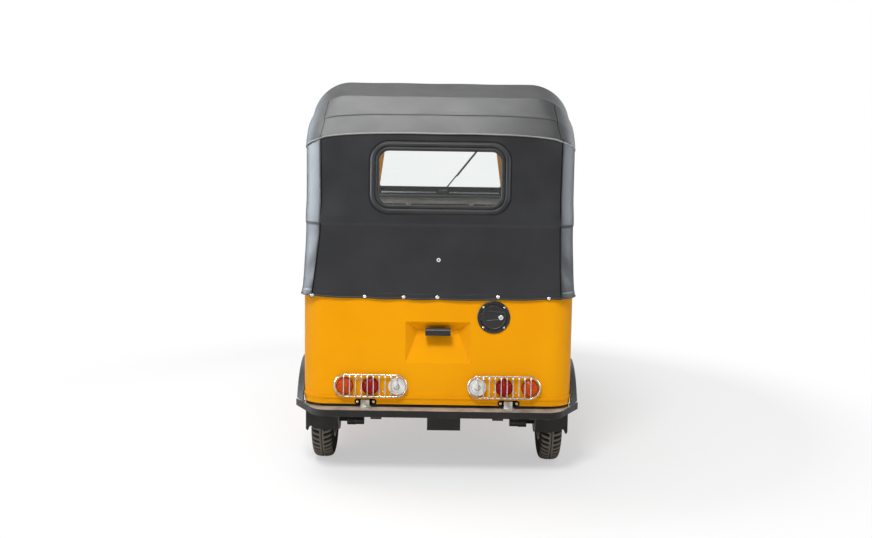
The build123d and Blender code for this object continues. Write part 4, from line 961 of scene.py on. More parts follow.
# %% Stitches
stitch_count = 190
stitch_line = rounded_rectangle(0.3165, 0.1645, 0.089, stitch_count)
stitch_along = unit(np.roll(stitch_line, -1, 0) - np.roll(stitch_line, 1, 0))
stitch_turn = np.linspace(0.0, 2 * pi, 6, endpoint=False)
stitch_reach = np.array([-1.0, -0.8, 0.8, 1.0]) * 0.0034
stitch_thick = np.array([0.0, 1.0, 1.0, 0.0]) * 0.0012
stitch_flat = stitch_line[:, None] + stitch_along[:, None] * stitch_reach[None, :, None]
stitch_side = np.stack([stitch_along[:, 1], -stitch_along[:, 0]], -1)
stitch_bulge = stitch_thick[None, :, None, None] * np.cos(stitch_turn)[None, None, :, None]
stitch_flat = stitch_flat[:, :, None] + stitch_side[:, None, None] * stitch_bulge
stitch_lift = 0.0016 + stitch_thick[None, :, None] * np.sin(stitch_turn)[None, None, :]
stitch_points = (
    window_origin + stitch_flat[..., :1] * np.array([1.0, 0.0, 0.0]) + stitch_flat[..., 1:] * window_up
    + stitch_lift[..., None] * window_out
)
one_stitch = grid(stitch_points[0], wrap_v=True)[1]
stitch_quads = one_stitch[None] + (np.arange(stitch_count) * stitch_points[0].shape[0] * 6)[:, None, None]
piece(
    "window_stitches", [(stitch_points.reshape(-1, 3), stitch_quads.reshape(-1, 4))], finishes["black_and_painted_shade"],
)

# %% [markdown]
# ## Seams, snaps and the eyelet of the curtain
# Two upright welts join the back to the side panels, the hem has a line of snaps with nickel caps, and
# an eyelet sits in the middle below the window. Each stands on the curtain's own surface, so its depth
# comes from the same formulas.

# %% Curtain seams
seam_z = np.linspace(0.832, 1.528, 60)
seam_paths = [
    np.stack([seam_place(seam_z, side), curtain_back(seam_z) - 0.0006, seam_z], -1) for side in (-1, 1)
]
# The upright welts are near black with almost no reflection: painted shade along the seams.
piece(
    "curtain_seams", [tube(path, 0.0021, side=(1.0, 0.0, 0.0), sides=8) for path in seam_paths],
    finishes["black_and_painted_shade"],
)

# %% Snaps, hem roll and eyelet
snap_cap = [
    (0.0, 0.0038), (0.0022, 0.0038), (0.0032, 0.0046), (0.0052, 0.0050), (0.0072, 0.0042), (0.0081, 0.0026),
    (0.0083, 0.0), (0.0, -0.001),
]
snap_ring = [(0.0, 0.0012), (0.0100, 0.0012), (0.0108, 0.0006), (0.0108, -0.0006), (0.0, -0.0006)]
snap_y = curtain_back(snap_z) + snap_pull - hem_thick
snap_y -= snap_pull * (1.0 - np.exp(-(((snap_z - hem_height(snap_x)) / hem_fade) ** 2)))
snaps = repeated(turned(snap_cap, (0.0, 0.0, 0.0), around=24), np.stack([snap_x, snap_y, snap_z], -1))
side_snaps = [
    repeated(turned(snap_cap, (0, 0, 0), axis=(s, 0, 0), around=24),
             [(s * 0.6232, y, 0.8395) for y in (-1.09, -0.92, -0.75)])
    for s in (-1.0, 1.0)
]
piece("hem_snaps", [snaps, *side_snaps], finishes["nickel_snaps"])
hem_roll = tube(curtain_rows[1], 0.0042, side=(0.0, 0.0, 1.0), sides=10)
piece("hem_roll", [hem_roll], finishes["rubber"])
rings = repeated(turned(snap_ring, (0.0, 0.0, 0.0), around=24), np.stack([snap_x, snap_y, snap_z], -1))
piece("snap_rings", [rings], finishes["black_and_painted_shade"])
eyelet_profile = [
    (0.0040, 0.0), (0.0044, 0.0030), (0.0064, 0.0042), (0.0086, 0.0030), (0.0094, 0.0), (0.0040, 0.0),
]
eyelet_z = 0.993
eyelet_y = float(curtain_back(np.array(eyelet_z))) - 0.0002
piece(
    "curtain_eyelet", [turned(eyelet_profile, (-0.002, eyelet_y, eyelet_z), around=28)],
    finishes["pale_trim_and_painted_reflection"],
)

# %% [markdown]
# ## Rear lamps
# Each lamp is a round moulded lens with a bezel, a crowned face and fine ribs. A cosine of the radius
# makes the ribs, and the same waves of radius and angle are kept as marks on the points, so the finish
# paints darker cells, painted shade where the moulded optics turn away, and a darker rim. The clear lamp
# has painted shade in the shape of its bulb, its filament and one side of its reflector's ring instead.

# %% Lens profile and painted shade marks
lamp_z, wall_y, lens_around, lens_radius = 0.416, -1.2583, 64, 0.0355
lens_ring = np.linspace(0.0, lens_radius, 64)
lens_ribs = 0.0005 * np.cos(lens_ring * 2 * pi / 0.0047)
lens_crown = 0.0135 + 0.0055 * (1.0 - (lens_ring / lens_radius) ** 2) + lens_ribs
lens_profile = np.concatenate([
    np.stack([lens_ring, lens_crown], -1),
    [(0.0360, 0.0150), (0.0375, 0.0162), (0.0390, 0.0140), (0.0390, 0.0), (0.0, 0.0)],
])
lens_r = lens_profile[:, :1] / lens_radius
lens_turn = np.linspace(0.0, 2 * pi, lens_around, endpoint=False)[None]
# Painted shade: darker cells where the moulded optics turn away, and a darker rim.
cell_wave = np.cos(lens_r * 23.0) * np.cos(lens_turn * 9.0 + 2.0 * np.sin(lens_r * 9.0))
cell_painted_shade = smoothstep(cell_wave, 0.1, 0.8)
cell_painted_shade = np.maximum(cell_painted_shade * (lens_r > 0.12), 0.75 * smoothstep(lens_r, 0.93, 1.0))
# The clear lamp's marks paint shade in the shape of its bulb, its filament and one side of its reflector's
# ring.
bulb = smoothstep(0.10 - np.abs(lens_r - 0.34 - 0.05 * np.cos(lens_turn - 0.6)), 0.0, 0.07)
filament = smoothstep(0.16 - lens_r, 0.0, 0.08)
reflector = 0.55 * smoothstep(0.06 - np.abs(lens_r - 0.80), 0.0, 0.05) * (np.cos(lens_turn + 0.9) > -0.4)
clear_lamp_painted_shade = np.maximum(np.maximum(bulb * (np.cos(lens_turn - 2.4) > -0.55), reflector), filament)

# %% Lenses
lamps = [
    # name, distance from the middle, painted shade marks
    ("amber", 0.419, cell_painted_shade),
    ("red", 0.303, cell_painted_shade),
    ("clear", 0.183, clear_lamp_painted_shade),
]
for lamp, lamp_x, marks in lamps:
    one_lens = turned(lens_profile, (0.0, wall_y, lamp_z), around=lens_around)
    pair = repeated(one_lens, [(-lamp_x, 0, 0), (lamp_x, 0, 0)])
    lens = piece(
        f"{lamp}_lens_pair", [pair], finishes[f"{lamp}_lens"],
        marks=np.tile(marks, (2, 1)),
    )
    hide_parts(f"{lamp}_lamps")

# %% [markdown]
# ## Lamp guards
# A ring of bright wire in the shape of a racetrack stands off the wall, and ten upright wires bow out
# from it in front of the lenses. The racetrack is two half circles joined by straight runs, and each
# upright is half of a squarish ellipse, so both are paths for the same round wire.

# %% Guard paths
guard_middle, guard_z, guard_half, guard_rise, wire = 0.302, 0.418, 0.163, 0.0500, 0.0040
guard_back = wall_y - 0.0180
track_turn = np.linspace(-pi / 2, pi / 2, 24)
track_end = np.stack([
    guard_rise * np.cos(track_turn) + guard_half - guard_rise, guard_rise * np.sin(track_turn)
], -1)
racetrack = evenly(np.concatenate([track_end, -track_end]), 120, loop=True)
bow_steps = 33
bow_turn = np.linspace(0.0, pi, bow_steps)
bow_out = 0.0140 * np.sqrt(np.abs(np.sin(bow_turn)))
bow_drop = np.sign(np.cos(bow_turn)) * np.abs(np.cos(bow_turn)) ** 0.6
upright_x = np.linspace(-0.1205, 0.1205, 10)
past_straight = np.maximum(np.abs(upright_x) - (guard_half - guard_rise), 0.0)
upright_rise = np.sqrt(guard_rise**2 - past_straight**2)
print("guard", len(racetrack), "points round and", len(upright_x), "uprights")

# %% Guards
cages = []
for guard_x in (-guard_middle, guard_middle):
    track = np.stack([racetrack[:, 0] + guard_x, np.full(120, guard_back), racetrack[:, 1] + guard_z], -1)
    cages.append(tube(track, wire, side=(0.0, 1.0, 0.0), loop=True))
    for bar_x, bar_rise in zip(upright_x, upright_rise):
        bar = np.stack([
            np.full(bow_steps, guard_x + bar_x), guard_back - bow_out, guard_z + bar_rise * bow_drop
        ], -1)
        cages.append(tube(bar, wire * 0.68, sides=8))
    for foot_x, foot_z in ((-0.161, 0.416), (0.161, 0.416), (0.0, guard_z + guard_rise - 0.0015)):
        leg_y = np.linspace(guard_back, wall_y, 6)
        leg = np.stack([np.full(6, guard_x + foot_x), leg_y, np.full(6, foot_z)], -1)
        cages.append(tube(leg, wire * 0.85, side=(0.0, 0.0, 1.0), sides=8))
guards = piece("wire_guards", cages, finishes["bright_wire"])
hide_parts("lamp_guards")
screw_cap = [(0.0, 0.0030), (0.0026, 0.0028), (0.0044, 0.0016), (0.0048, 0.0), (0.0, 0.0)]
screw_spots = ((-0.043, 0.392), (0.055, 0.389), (-0.060, 0.447))
guard_screws = [(s * guard_middle + dx, wall_y, z) for s in (-1, 1) for dx, z in screw_spots]
piece(
    "lamp_screws", [repeated(turned(screw_cap, (0.0, 0.0, 0.0), around=16), guard_screws)],
    finishes["nickel_snaps"],
)

# %% [markdown]
# ## The filler lid
# The lid is a moulded disc that turns on a hinge at its left. Its face is a height over a polar grid: a
# soft rim, a raised tongue that runs to the lock, and a ring round the lock's barrel. The tongue's edge
# is the distance from two straight lines, smoothed so that it catches the light as a soft ridge.

# %% Lid face
filler_x, filler_z, lid_radius, lid_face = 0.250, 0.737, 0.056, -1.2636
face_steps, lid_around, lock_x = 46, 120, 0.032
rim_share, rim_fall = np.array([0.95, 0.975, 0.99, 1.0, 1.0]), [0.0004, 0.0012, 0.0024, 0.0042, 0.0062]
disc_r = np.concatenate([np.linspace(0.0, 0.92, face_steps), rim_share])[:, None] * lid_radius
disc_turn = np.linspace(0.0, 2 * pi, lid_around, endpoint=False)[None]
disc_x, disc_z = disc_r * np.cos(disc_turn), disc_r * np.sin(disc_turn)
upper_edge = np.where(disc_x < -0.027, 0.029 - 0.72 * (disc_x + 0.027), 0.029 - 0.095 * (disc_x + 0.027))
lower_edge = -0.0165 + 0.09 * (disc_x + 0.034)
tongue = smoothstep(upper_edge - disc_z, -0.0012, 0.0022) * smoothstep(disc_z - lower_edge, -0.0012, 0.0022)
tongue = tongue * smoothstep(disc_x, -0.048, -0.036)
ridge = np.exp(-(((upper_edge - disc_z) / 0.0022) ** 2)) * (disc_x > -0.046) * (disc_x < 0.046)
ridge += np.exp(-(((disc_z - lower_edge) / 0.0022) ** 2)) * (disc_x > -0.034) * (disc_x < 0.029)
lock_far = np.hypot(disc_x - lock_x, disc_z)
barrel = smoothstep(0.0150 - lock_far, 0.0, 0.0015) - smoothstep(0.0122 - lock_far, 0.0, 0.0010)
disc_lift = 0.0050 + 0.0012 * tongue + 0.0032 * ridge + 0.0020 * barrel
rim_drop = np.concatenate([np.zeros(face_steps), rim_fall])[:, None]
rim_roll = 0.0022 * np.exp(-(((disc_r / lid_radius - 0.93) / 0.035) ** 2))
disc_lift = np.where(disc_r > 0.925 * lid_radius, 0.0062 - rim_drop, disc_lift) + rim_roll
print("lid stands", round(float(disc_lift.max()) * 1000, 1), "mm high")

# %% Filler lid
lid_front = np.stack([filler_x + disc_x, lid_face - disc_lift, filler_z + disc_z], -1)
lid_back = lid_front[[-1, 0]] * (1.0, 0.0, 1.0) + (0.0, lid_face, 0.0)
hinge_x, hinge_y = 0.190, -1.2671
hinge_rise = filler_z + np.linspace(-0.016, 0.016, 12)
hinge_line = np.stack([np.full(12, hinge_x), np.full(12, hinge_y), hinge_rise], -1)
hinge_leaf = np.stack([
    np.stack([np.linspace(hinge_x, hinge_x + 0.017, 6), np.full(6, hinge_y), np.full(6, filler_z + z)], -1)
    for z in (-0.012, -0.004, 0.004, 0.012)
])
lid = piece(
    "filler_lid_cover",
    [grid(np.concatenate([lid_front, lid_back]), wrap_v=True), tube(hinge_line, 0.0034, sides=14)]
    + [tube(leaf, 0.0033, side=(0.0, 0.0, 1.0)) for leaf in hinge_leaf],
    finishes["black_plastic"], "filler_lid",
)
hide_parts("filler_lid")

# %% Lock, bezel and screws
lock_face, bezel_y, bezel_screw_y = lid_face - 0.0056, -1.2633, -1.2650
lock_profile = [
    (0.0, 0.0031), (0.0030, 0.0031), (0.0034, 0.0036), (0.0070, 0.0038), (0.0098, 0.0034), (0.0108, 0.0020),
    (0.0110, 0.0), (0.0, 0.0),
]
piece(
    "filler_lock", [turned(lock_profile, (filler_x + lock_x, lock_face, filler_z), around=36)],
    finishes["nickel_snaps"], "filler_lid",
)
# The keyhole is a near-black rod with almost no reflection: painted shade in the hole.
slot_rise = filler_z + np.linspace(-0.0034, 0.0034, 6)
slot_line = np.stack([np.full(6, filler_x + lock_x), np.full(6, lock_face - 0.0030), slot_rise], -1)
piece(
    "filler_keyhole", [tube(slot_line, 0.0013, sides=8)], finishes["black_and_painted_shade"], "filler_lid"
)
bezel_ring = [
    (0.0585, 0.0), (0.0600, 0.0014), (0.0640, 0.0020), (0.0700, 0.0016), (0.0736, 0.0004), (0.0738, 0.0),
    (0.0585, 0.0),
]
piece(
    "filler_bezel", [turned(bezel_ring, (filler_x, bezel_y, filler_z), around=90)],
    finishes["black_plastic"],
)
bezel_screws = [
    (filler_x + sx * 0.0465, bezel_screw_y, filler_z + sz * 0.0455) for sx in (-1, 1) for sz in (-1, 1)
]
piece(
    "filler_screws", [repeated(turned(screw_cap, (0.0, 0.0, 0.0), around=16), bezel_screws)],
    finishes["nickel_snaps"],
)

# %% [markdown]
# ## Bumper brackets
# Each bracket is a black two-bolt plate on the body with a steel strap that comes down from it and lies on
# the bumper. The plate is a racetrack outline carried outwards with a rounded edge, the strap is a flat bar
# bent along a short path, and the bolts have six-sided heads on washers.


# %% Bent strap
def bent_strap(centre_x, path, half_width, thickness):
    """A flat bar: a rectangle with eased corners carried along a path in the y-z plane."""
    path = softened(path, 3)
    along = unit(np.gradient(path, axis=0))
    across_bar = np.stack([-along[:, 1], along[:, 0]], -1)
    half_edge = np.array([(-1, -0.6), (-0.93, -1), (0.93, -1), (1, -0.6)])
    edge = np.concatenate([half_edge, -half_edge])
    x = np.broadcast_to(centre_x + edge[:, 0] * half_width, (len(path), 8))
    yz = path[:, None] + across_bar[:, None] * (edge[None, :, 1:] * thickness / 2)
    rows = np.concatenate([x[..., None], yz], -1)
    ends = np.repeat(rows[[0, -1]].mean(1, keepdims=True), 8, 1)
    return grid(np.concatenate([ends[:1], rows, ends[1:]]), wrap_v=True)


# %% Brackets
bracket_x, bolt_reach, plate_round, plate_z = 0.325, 0.0370, 0.0128, 0.3415
plate_turn = np.linspace(-pi / 2, pi / 2, 16)
plate_end = np.stack([plate_round * np.cos(plate_turn) + bolt_reach, plate_round * np.sin(plate_turn)], -1)
plate_line = np.concatenate([plate_end, -plate_end])
plate_steps = [(1.0, 0.0), (1.0, 0.0040), (0.97, 0.0048), (0.90, 0.0050), (0.0, 0.0050)]
plate_rows = np.stack([
    np.stack([plate_line[:, 0] * s, np.full(32, wall_y - lift), plate_z + plate_line[:, 1] * s], -1)
    for s, lift in [(0.0, 0.0)] + plate_steps
])
plates = repeated(grid(plate_rows, wrap_v=True), [(-bracket_x, 0, 0), (bracket_x, 0, 0)])
strap_path = [(-1.2655, 0.3515), (-1.2655, 0.336), (-1.2665, 0.3195), (-1.274, 0.3178), (-1.300, 0.3178)]
straps = [bent_strap(s * bracket_x - 0.002, strap_path, 0.0195, 0.0045) for s in (-1, 1)]
brackets = piece("bracket_straps", straps, finishes["strap_zinc"], sharp=40)
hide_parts("bumper_brackets")
piece("bracket_plates", [plates], finishes["black_and_painted_shade"], sharp=50)
bolt_places = [
    (s * bracket_x + t * bolt_reach, wall_y - 0.0050, plate_z) for s in (-1, 1) for t in (-1, 1)
]
bolt_head = [(0.0, 0.0052), (0.0046, 0.0052), (0.0054, 0.0045), (0.0054, 0.0010), (0.0, 0.0010)]
washer = [(0.0, 0.0012), (0.0062, 0.0012), (0.0065, 0.0007), (0.0065, 0.0), (0.0, 0.0)]
bolts = [
    repeated(turned(bolt_head, (0, 0, 0), around=6), bolt_places),
    repeated(turned(washer, (0, 0, 0), around=24), bolt_places),
]
piece("bracket_bolts", bolts, finishes["zinc_bolts"], sharp=40)

# %% [markdown]
# ## Tyres
# The tread has bars of rubber on both sides of a centre groove. The radius of every point is the plain
# tyre's outline less the depth of the groove, and a wave of the angle and of the distance from the
# middle says where the bars stand, so the whole tyre is one closed grid. The bars' tops are kept as marks,
# because road dust greys them while the grooves stay black.

# %% Tread
tread_lugs, lug_samples = 46, 12
tyre_outline = softened(
    [
        (0.036, 0.1018), (0.0455, 0.112), (0.0515, 0.135), (0.0522, 0.158), (0.0498, 0.180), (0.0445, 0.1965),
        (0.036, 0.2038), (0.022, 0.2072), (0.008, 0.2086), (0.0, 0.2090),
    ],
    1,
)
half_outline = evenly(tyre_outline, 36)
closing = np.stack([np.linspace(-0.036, 0.036, 8)[1:-1], np.full(6, 0.1018)], -1)
tyre_profile = np.concatenate([half_outline, half_outline[-2::-1] * (-1.0, 1.0), closing])
tyre_turn = np.linspace(0.0, 2 * pi, tread_lugs * lug_samples, endpoint=False)
from_middle, plain_radius = tyre_profile[:, 0], tyre_profile[:, 1]
lug_wave = np.cos(
    tread_lugs * tyre_turn[:, None] + pi * 0.5 * np.sign(from_middle) - 62.0 * np.abs(from_middle)[None]
)
in_lugs = smoothstep(np.abs(from_middle), 0.0085, 0.0120) * smoothstep(plain_radius, 0.180, 0.192)
lug_gap = in_lugs * smoothstep(-lug_wave, -0.35, 0.05)
centre_groove = (1.0 - smoothstep(np.abs(from_middle), 0.0008, 0.0026)) * (plain_radius > 0.18)
tyre_radius = plain_radius - np.maximum(0.0085 * lug_gap, 0.0050 * centre_groove)
tread_marks = smoothstep(plain_radius, 0.186, 0.196) * (1.0 - np.maximum(lug_gap, centre_groove))
wall_ring = 0.22 * smoothstep(0.004 - np.abs(plain_radius - 0.172), 0.0, 0.002)
tread_marks = np.maximum(tread_marks, wall_ring)
print("tread radius from", round(float(tyre_radius.min()), 4), "to", round(float(tyre_radius.max()), 4))

# %% Tyres
front_axle_y, rear_axle_y, axle_z, half_track = 1.058, -0.942, 0.209, 0.538
tyres = [
    # CAD node, body, centre across and along
    ("front_tyre", "front_wheel", 0.0, front_axle_y),
    ("rear_left_tyre", "rear_left_wheel", -half_track, rear_axle_y),
    ("rear_right_tyre", "rear_right_wheel", half_track, rear_axle_y),
]
for node, body, wheel_x, wheel_y in tyres:
    tyre_points = np.stack([
        np.broadcast_to(from_middle + wheel_x, tyre_radius.shape),
        wheel_y + tyre_radius * np.sin(tyre_turn)[:, None],
        axle_z + tyre_radius * np.cos(tyre_turn)[:, None],
    ], -1)
    tyre = piece(
        f"{node}_tread", [grid(tyre_points, wrap_u=True, wrap_v=True)], finishes["tyre_rubber"], body,
        marks=tread_marks,
    )
    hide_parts(node)

# %% [markdown]
# ## Mud flaps
# The flaps are cut from old rubber sheet and have lost pieces of their lower edge. The edge is a line of
# heights across the flap, and each flap is a sheet between that line and the straight top, closed round its
# edge. A flat bar from the chassis holds it.

# %% Mud flaps
flap_outer_x, flap_width, flap_foot_z, flap_top_z = 0.607, 0.150, 0.180, 0.3297
flap_y, flap_thick, bar_inner_x = -1.1715, 0.0045, 0.3053
worn_edge = np.array([
    # share of the width from the outer side, millimetres of rubber lost
    (0.0, 8), (0.04, 0), (0.07, 1), (0.12, 19), (0.17, 22), (0.22, 14), (0.26, 9), (0.44, 10), (0.51, 3),
    (0.57, 6), (0.62, 2), (0.72, 5), (0.80, 10), (0.90, 0), (0.96, 7), (1.0, 5),
])
flap_share = np.linspace(0.0, 1.0, 121)
flap_x = flap_outer_x - flap_width * flap_share
flap_low = flap_foot_z + np.interp(flap_share, worn_edge[:, 0], worn_edge[:, 1] * 0.001)
flap_rise = np.linspace(0.0, 1.0, 16)[:, None]
flap_z = flap_low + (flap_top_z - flap_low) * flap_rise
flap_curl = 0.0012 * np.sin(flap_share * 9.0) * (1.0 - flap_rise) ** 2
flap_back = np.stack(np.broadcast_arrays(flap_x, flap_y + flap_curl, flap_z), -1)
flap_front = flap_back + (0.0, flap_thick, 0.0)
flap_loop = np.concatenate([flap_back, flap_front[::-1]])
flap_ends = [np.stack([flap_back[:, k], flap_front[:, k]]) for k in (0, -1)]
bar_edge = np.array([(-1.1667, 0.298), (-1.1667, 0.318), (-1.1612, 0.318), (-1.1612, 0.298)])
bar_rows = np.stack([
    np.concatenate([np.full((4, 1), x), bar_edge.mean(0) + (bar_edge - bar_edge.mean(0)) * size], -1)
    for x, size in ((bar_inner_x, 0.0), (bar_inner_x, 1.0), (flap_outer_x, 1.0), (flap_outer_x, 0.0))
])
one_side = [grid(flap_loop, wrap_u=True), *(grid(end) for end in flap_ends), grid(bar_rows, wrap_v=True)]
both_sides = one_side + [(points * (-1.0, 1.0, 1.0), quads) for points, quads in one_side]
flaps = piece("worn_flaps", both_sides, finishes["flap_rubber"], sharp=40)
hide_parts("mud_flaps")

# %% [markdown]
# ## Headlamp glass
# The headlamps have fluted glass that spreads the beam sideways. The face is a height over a polar grid:
# a flat dome with a rounded shoulder, less a wave of x inside the shoulder.

# %% Headlamp glass
beam_flat, beam_shoulder, beam_front, beam_back = 0.0566, 0.014, 1.0562, 1.0324
beam_places = [(-0.225, 0.0, 0.745), (0.225, 0.0, 0.745)]
shoulder_r = beam_flat + beam_shoulder * np.sin(np.linspace(0.1, pi / 2, 12))
beam_r = np.concatenate([np.linspace(0.0, beam_flat, 60), shoulder_r])[:, None]
beam_turn = np.linspace(0.0, 2 * pi, 96, endpoint=False)[None]
beam_x, beam_z = beam_r * np.cos(beam_turn), beam_r * np.sin(beam_turn)
past_flat = np.maximum(beam_r - beam_flat, 0.0) / beam_shoulder
shoulder_drop = beam_shoulder * (1.0 - np.sqrt(np.clip(1.0 - past_flat**2, 0.0, 1.0)))
flute = 0.0009 * (0.5 - 0.5 * np.cos(beam_x * 2 * pi / 0.0125)) * smoothstep(beam_r, beam_flat, 0.052)
beam_lift = beam_front - 0.0006 * (beam_r / beam_flat) ** 2 - shoulder_drop - flute
beam_face = np.stack([beam_x, beam_lift, beam_z], -1)
beam_rear = beam_face[[-1, 0]] * (1.0, 0.0, 1.0) + (0.0, beam_back, 0.0)
beam = repeated(grid(np.concatenate([beam_face, beam_rear]), wrap_v=True), beam_places)
headlamps = piece("headlamp_glass", [beam], finishes["clear_lens"])
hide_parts("headlamp_lenses")

# %% [markdown]
# ## What shows through the rear window
# Behind the glass the eye meets the windscreen's lower edge: a black sill pad with a bright strip along it,
# split by the wiper's motor, and a rubber trim on the edge of the cowl. The pad is a soft profile carried
# along x in the windscreen's leaning plane.

# %% Windscreen plane
screen_lean = radians(16.5)
screen_foot = np.array([0.0, 0.905, 1.188])
screen_up = np.array([0.0, -np.sin(screen_lean), np.cos(screen_lean)])
screen_back = np.array([0.0, -np.cos(screen_lean), -np.sin(screen_lean)])


def along_screen(x_start, x_end, profile, steps=24):
    """A closed profile of height and depth in the windscreen's plane, carried along x, with closed ends."""
    profile = np.asarray(profile, float)
    x = np.linspace(x_start, x_end, steps)[:, None, None] * np.array([1.0, 0.0, 0.0])
    rows = screen_foot + profile[None, :, :1] * screen_up + profile[None, :, 1:] * screen_back + x
    ends = np.repeat(rows[[0, -1]].mean(1, keepdims=True), len(profile), 1)
    return grid(np.concatenate([ends[:1], rows, ends[1:]]), wrap_v=True)


# %% Sill pad and strip
skin = softened([(0.0625, 0.0203), (0.0625, 0.0223), (-0.012, 0.0223), (-0.012, 0.0203)], 1, loop=True)
pad = softened(
    [(0.0440, 0.0215), (0.0440, 0.0265), (0.034, 0.0300), (0.002, 0.0320), (0.002, 0.0215)], 3, loop=True
)
pad_spans = [(-0.380, -0.018), (0.050, 0.380)]
piece(
    "sill_pad", [along_screen(-0.398, 0.398, skin)] + [along_screen(*span, pad) for span in pad_spans],
    finishes["black_and_painted_shade"],
)
# The strip is bright metal; its flat near-white finish is a painted reflection.
strip = softened(
    [(0.0305, 0.0270), (0.0302, 0.0300), (0.0290, 0.0470), (0.0265, 0.0470), (0.0265, 0.0270)], 1, loop=True
)
piece(
    "sill_strip", [along_screen(a + 0.006, b - 0.006, strip) for a, b in pad_spans], finishes["pale_trim_and_painted_reflection"],
)

# %% Dash wings, mat and cowl trim
dash_y, dash_z, dash_mat_y = 0.876, 1.115, 0.8180
wing_turn = np.linspace(0.0, 2 * pi, 32, endpoint=False)
wing_across = 0.010 * np.sign(np.cos(wing_turn)) * np.abs(np.cos(wing_turn)) ** 0.5
wing_up = 0.062 * np.sign(np.sin(wing_turn)) * np.abs(np.sin(wing_turn)) ** 0.35
wing_x = np.array([0.297, 0.298, 0.302, 0.330, 0.360, 0.388, 0.396, 0.398])[:, None]
wing_size = np.array([0.0, 0.85, 1.0, 1.0, 1.0, 1.0, 0.85, 0.0])[:, None]
wing_rows = np.stack(
    np.broadcast_arrays(wing_x, dash_y + wing_across * wing_size, dash_z + wing_up * wing_size), -1
)
piece(
    "dash_wings", [grid(wing_rows * (s, 1.0, 1.0), wrap_v=True) for s in (-1.0, 1.0)], finishes["seat_vinyl"],
)
dash_mat_steps = np.array([
    # half width, half depth, height
    (0.0, 0.0, 1.1883), (0.432, 0.0735, 1.1883), (0.434, 0.0755, 1.1893), (0.432, 0.0735, 1.1910),
    (0.428, 0.0715, 1.1916), (0.0, 0.0, 1.1916),
])[:, None]
mat_turn = rounded_rectangle(1.0, 1.0, 0.12, 96)
mat_rows = np.stack(np.broadcast_arrays(
    mat_turn[:, 0] * dash_mat_steps[..., 0], dash_mat_y + mat_turn[:, 1] * dash_mat_steps[..., 1],
    dash_mat_steps[..., 2],
), -1)
piece("dash_mat", [grid(mat_rows, wrap_v=True)], finishes["seat_vinyl"])
trim_x = np.linspace(-0.4475, 0.4475, 40)
trim_path = np.stack([trim_x, np.full(40, 0.7350), np.full(40, 1.1810)], -1)
cowl_trim = tube(trim_path, 0.0092, side=(0.0, 0.0, 1.0), sides=14)
piece("cowl_edge_trim", [cowl_trim], finishes["rubber"])

# %% [markdown]
# ## Seat cushions
# A cushion is a sewn cover pressed out by its foam. Each one starts as the CAD solid drawn in a little and
# remeshed to even cells. Blender's cloth then blows it up with an inner pressure, and every point is held to
# a limit and to the solid's own box, so it bulges on top, pulls in between its corners and stays flat where
# it rests. The sewn channels are pressed in afterwards, as soft grooves at even distances.


# %% Points and modifiers
def read_points(mesh):
    """The mesh's points as a table."""
    flat = np.empty(len(mesh.vertices) * 3)
    mesh.vertices.foreach_get("co", flat)
    return flat.reshape(-1, 3)


def applied(made):
    """Bakes the object's modifiers into its mesh."""
    baked = bpy.data.meshes.new_from_object(made.evaluated_get(bpy.context.evaluated_depsgraph_get()))
    made.modifiers.clear()
    made.data = baked


# %% Drawn-in solid
def drawn_in(name, node, low, high, swell, cell, anchor):
    """A copy of the solid, drawn in by the swell on each free side and remeshed to even cells."""
    shape = nodes[node].data.copy()
    work = bmesh.new()
    work.from_mesh(shape)
    bmesh.ops.remove_doubles(work, verts=work.verts, dist=1e-5)
    bmesh.ops.recalc_face_normals(work, faces=work.faces)
    work.to_mesh(shape)
    work.free()
    start = read_points(shape)
    fixed = np.where(anchor == 0, (low + high) / 2, np.where(anchor < 0, low, high))
    sides = np.where(anchor == 0, 2.0, 1.0)
    smaller = fixed + (start - fixed) * (1.0 - sides * swell / (high - low))
    shape.vertices.foreach_set("co", smaller.ravel())
    pad = bpy.data.objects.new(name, shape)
    bpy.context.scene.collection.objects.link(pad)
    remesh = pad.modifiers.new("remesh", "REMESH")
    remesh.mode, remesh.voxel_size = "VOXEL", cell
    applied(pad)
    return pad


# %% Inner pressure
def blow_up(pad, low, high, swell):
    """Cloth under pressure for a few frames, each point held to the swell and to the box, then subdivided."""
    last_frame = 20
    start = read_points(pad.data)
    cloth = pad.modifiers.new("cloth", "CLOTH")
    cloth.settings.use_pressure = True
    cloth.settings.uniform_pressure_force = 4.0
    cloth.settings.effector_weights.gravity = 0.0
    cloth.point_cache.frame_start, cloth.point_cache.frame_end = 1, last_frame
    for step_frame in range(1, last_frame + 1):
        bpy.context.scene.frame_set(step_frame)
    blown = read_points(pad.evaluated_get(bpy.context.evaluated_depsgraph_get()).data)
    bpy.context.scene.frame_set(1)
    pad.modifiers.clear()
    move = blown - start
    reach = np.maximum(np.linalg.norm(move, axis=1, keepdims=True), 1e-9)
    held_in = np.clip(start + move * np.minimum(1.0, swell / reach), low, high)
    pad.data.vertices.foreach_set("co", held_in.ravel())
    finer = pad.modifiers.new("finer", "SUBSURF")
    finer.levels = finer.render_levels = 1
    applied(pad)
    return float(reach.max())


# %% Sewn channels
def press_channels(pad, low, high, anchor, across, groove_axis, grooves):
    """Presses soft grooves into the free face at even distances; they fade out before its edges."""
    points = read_points(pad.data)
    share = (points - low) / (high - low)
    front = share[:, across] if anchor[across] < 0 else 1.0 - share[:, across]
    along = (points[:, groove_axis] - (low + high)[groove_axis] / 2) / grooves
    from_groove = (along - np.round(along)) * grooves
    depth = 0.009 * np.exp(-((from_groove / 0.0075) ** 2)) * smoothstep(front, 0.55, 0.8)
    other = 3 - across - groove_axis
    inside = smoothstep(np.minimum(share, 1.0 - share), 0.06, 0.16)
    depth = depth * inside[:, other] * inside[:, groove_axis]
    points[:, across] += depth * anchor[across]
    pad.data.vertices.foreach_set("co", points.ravel())


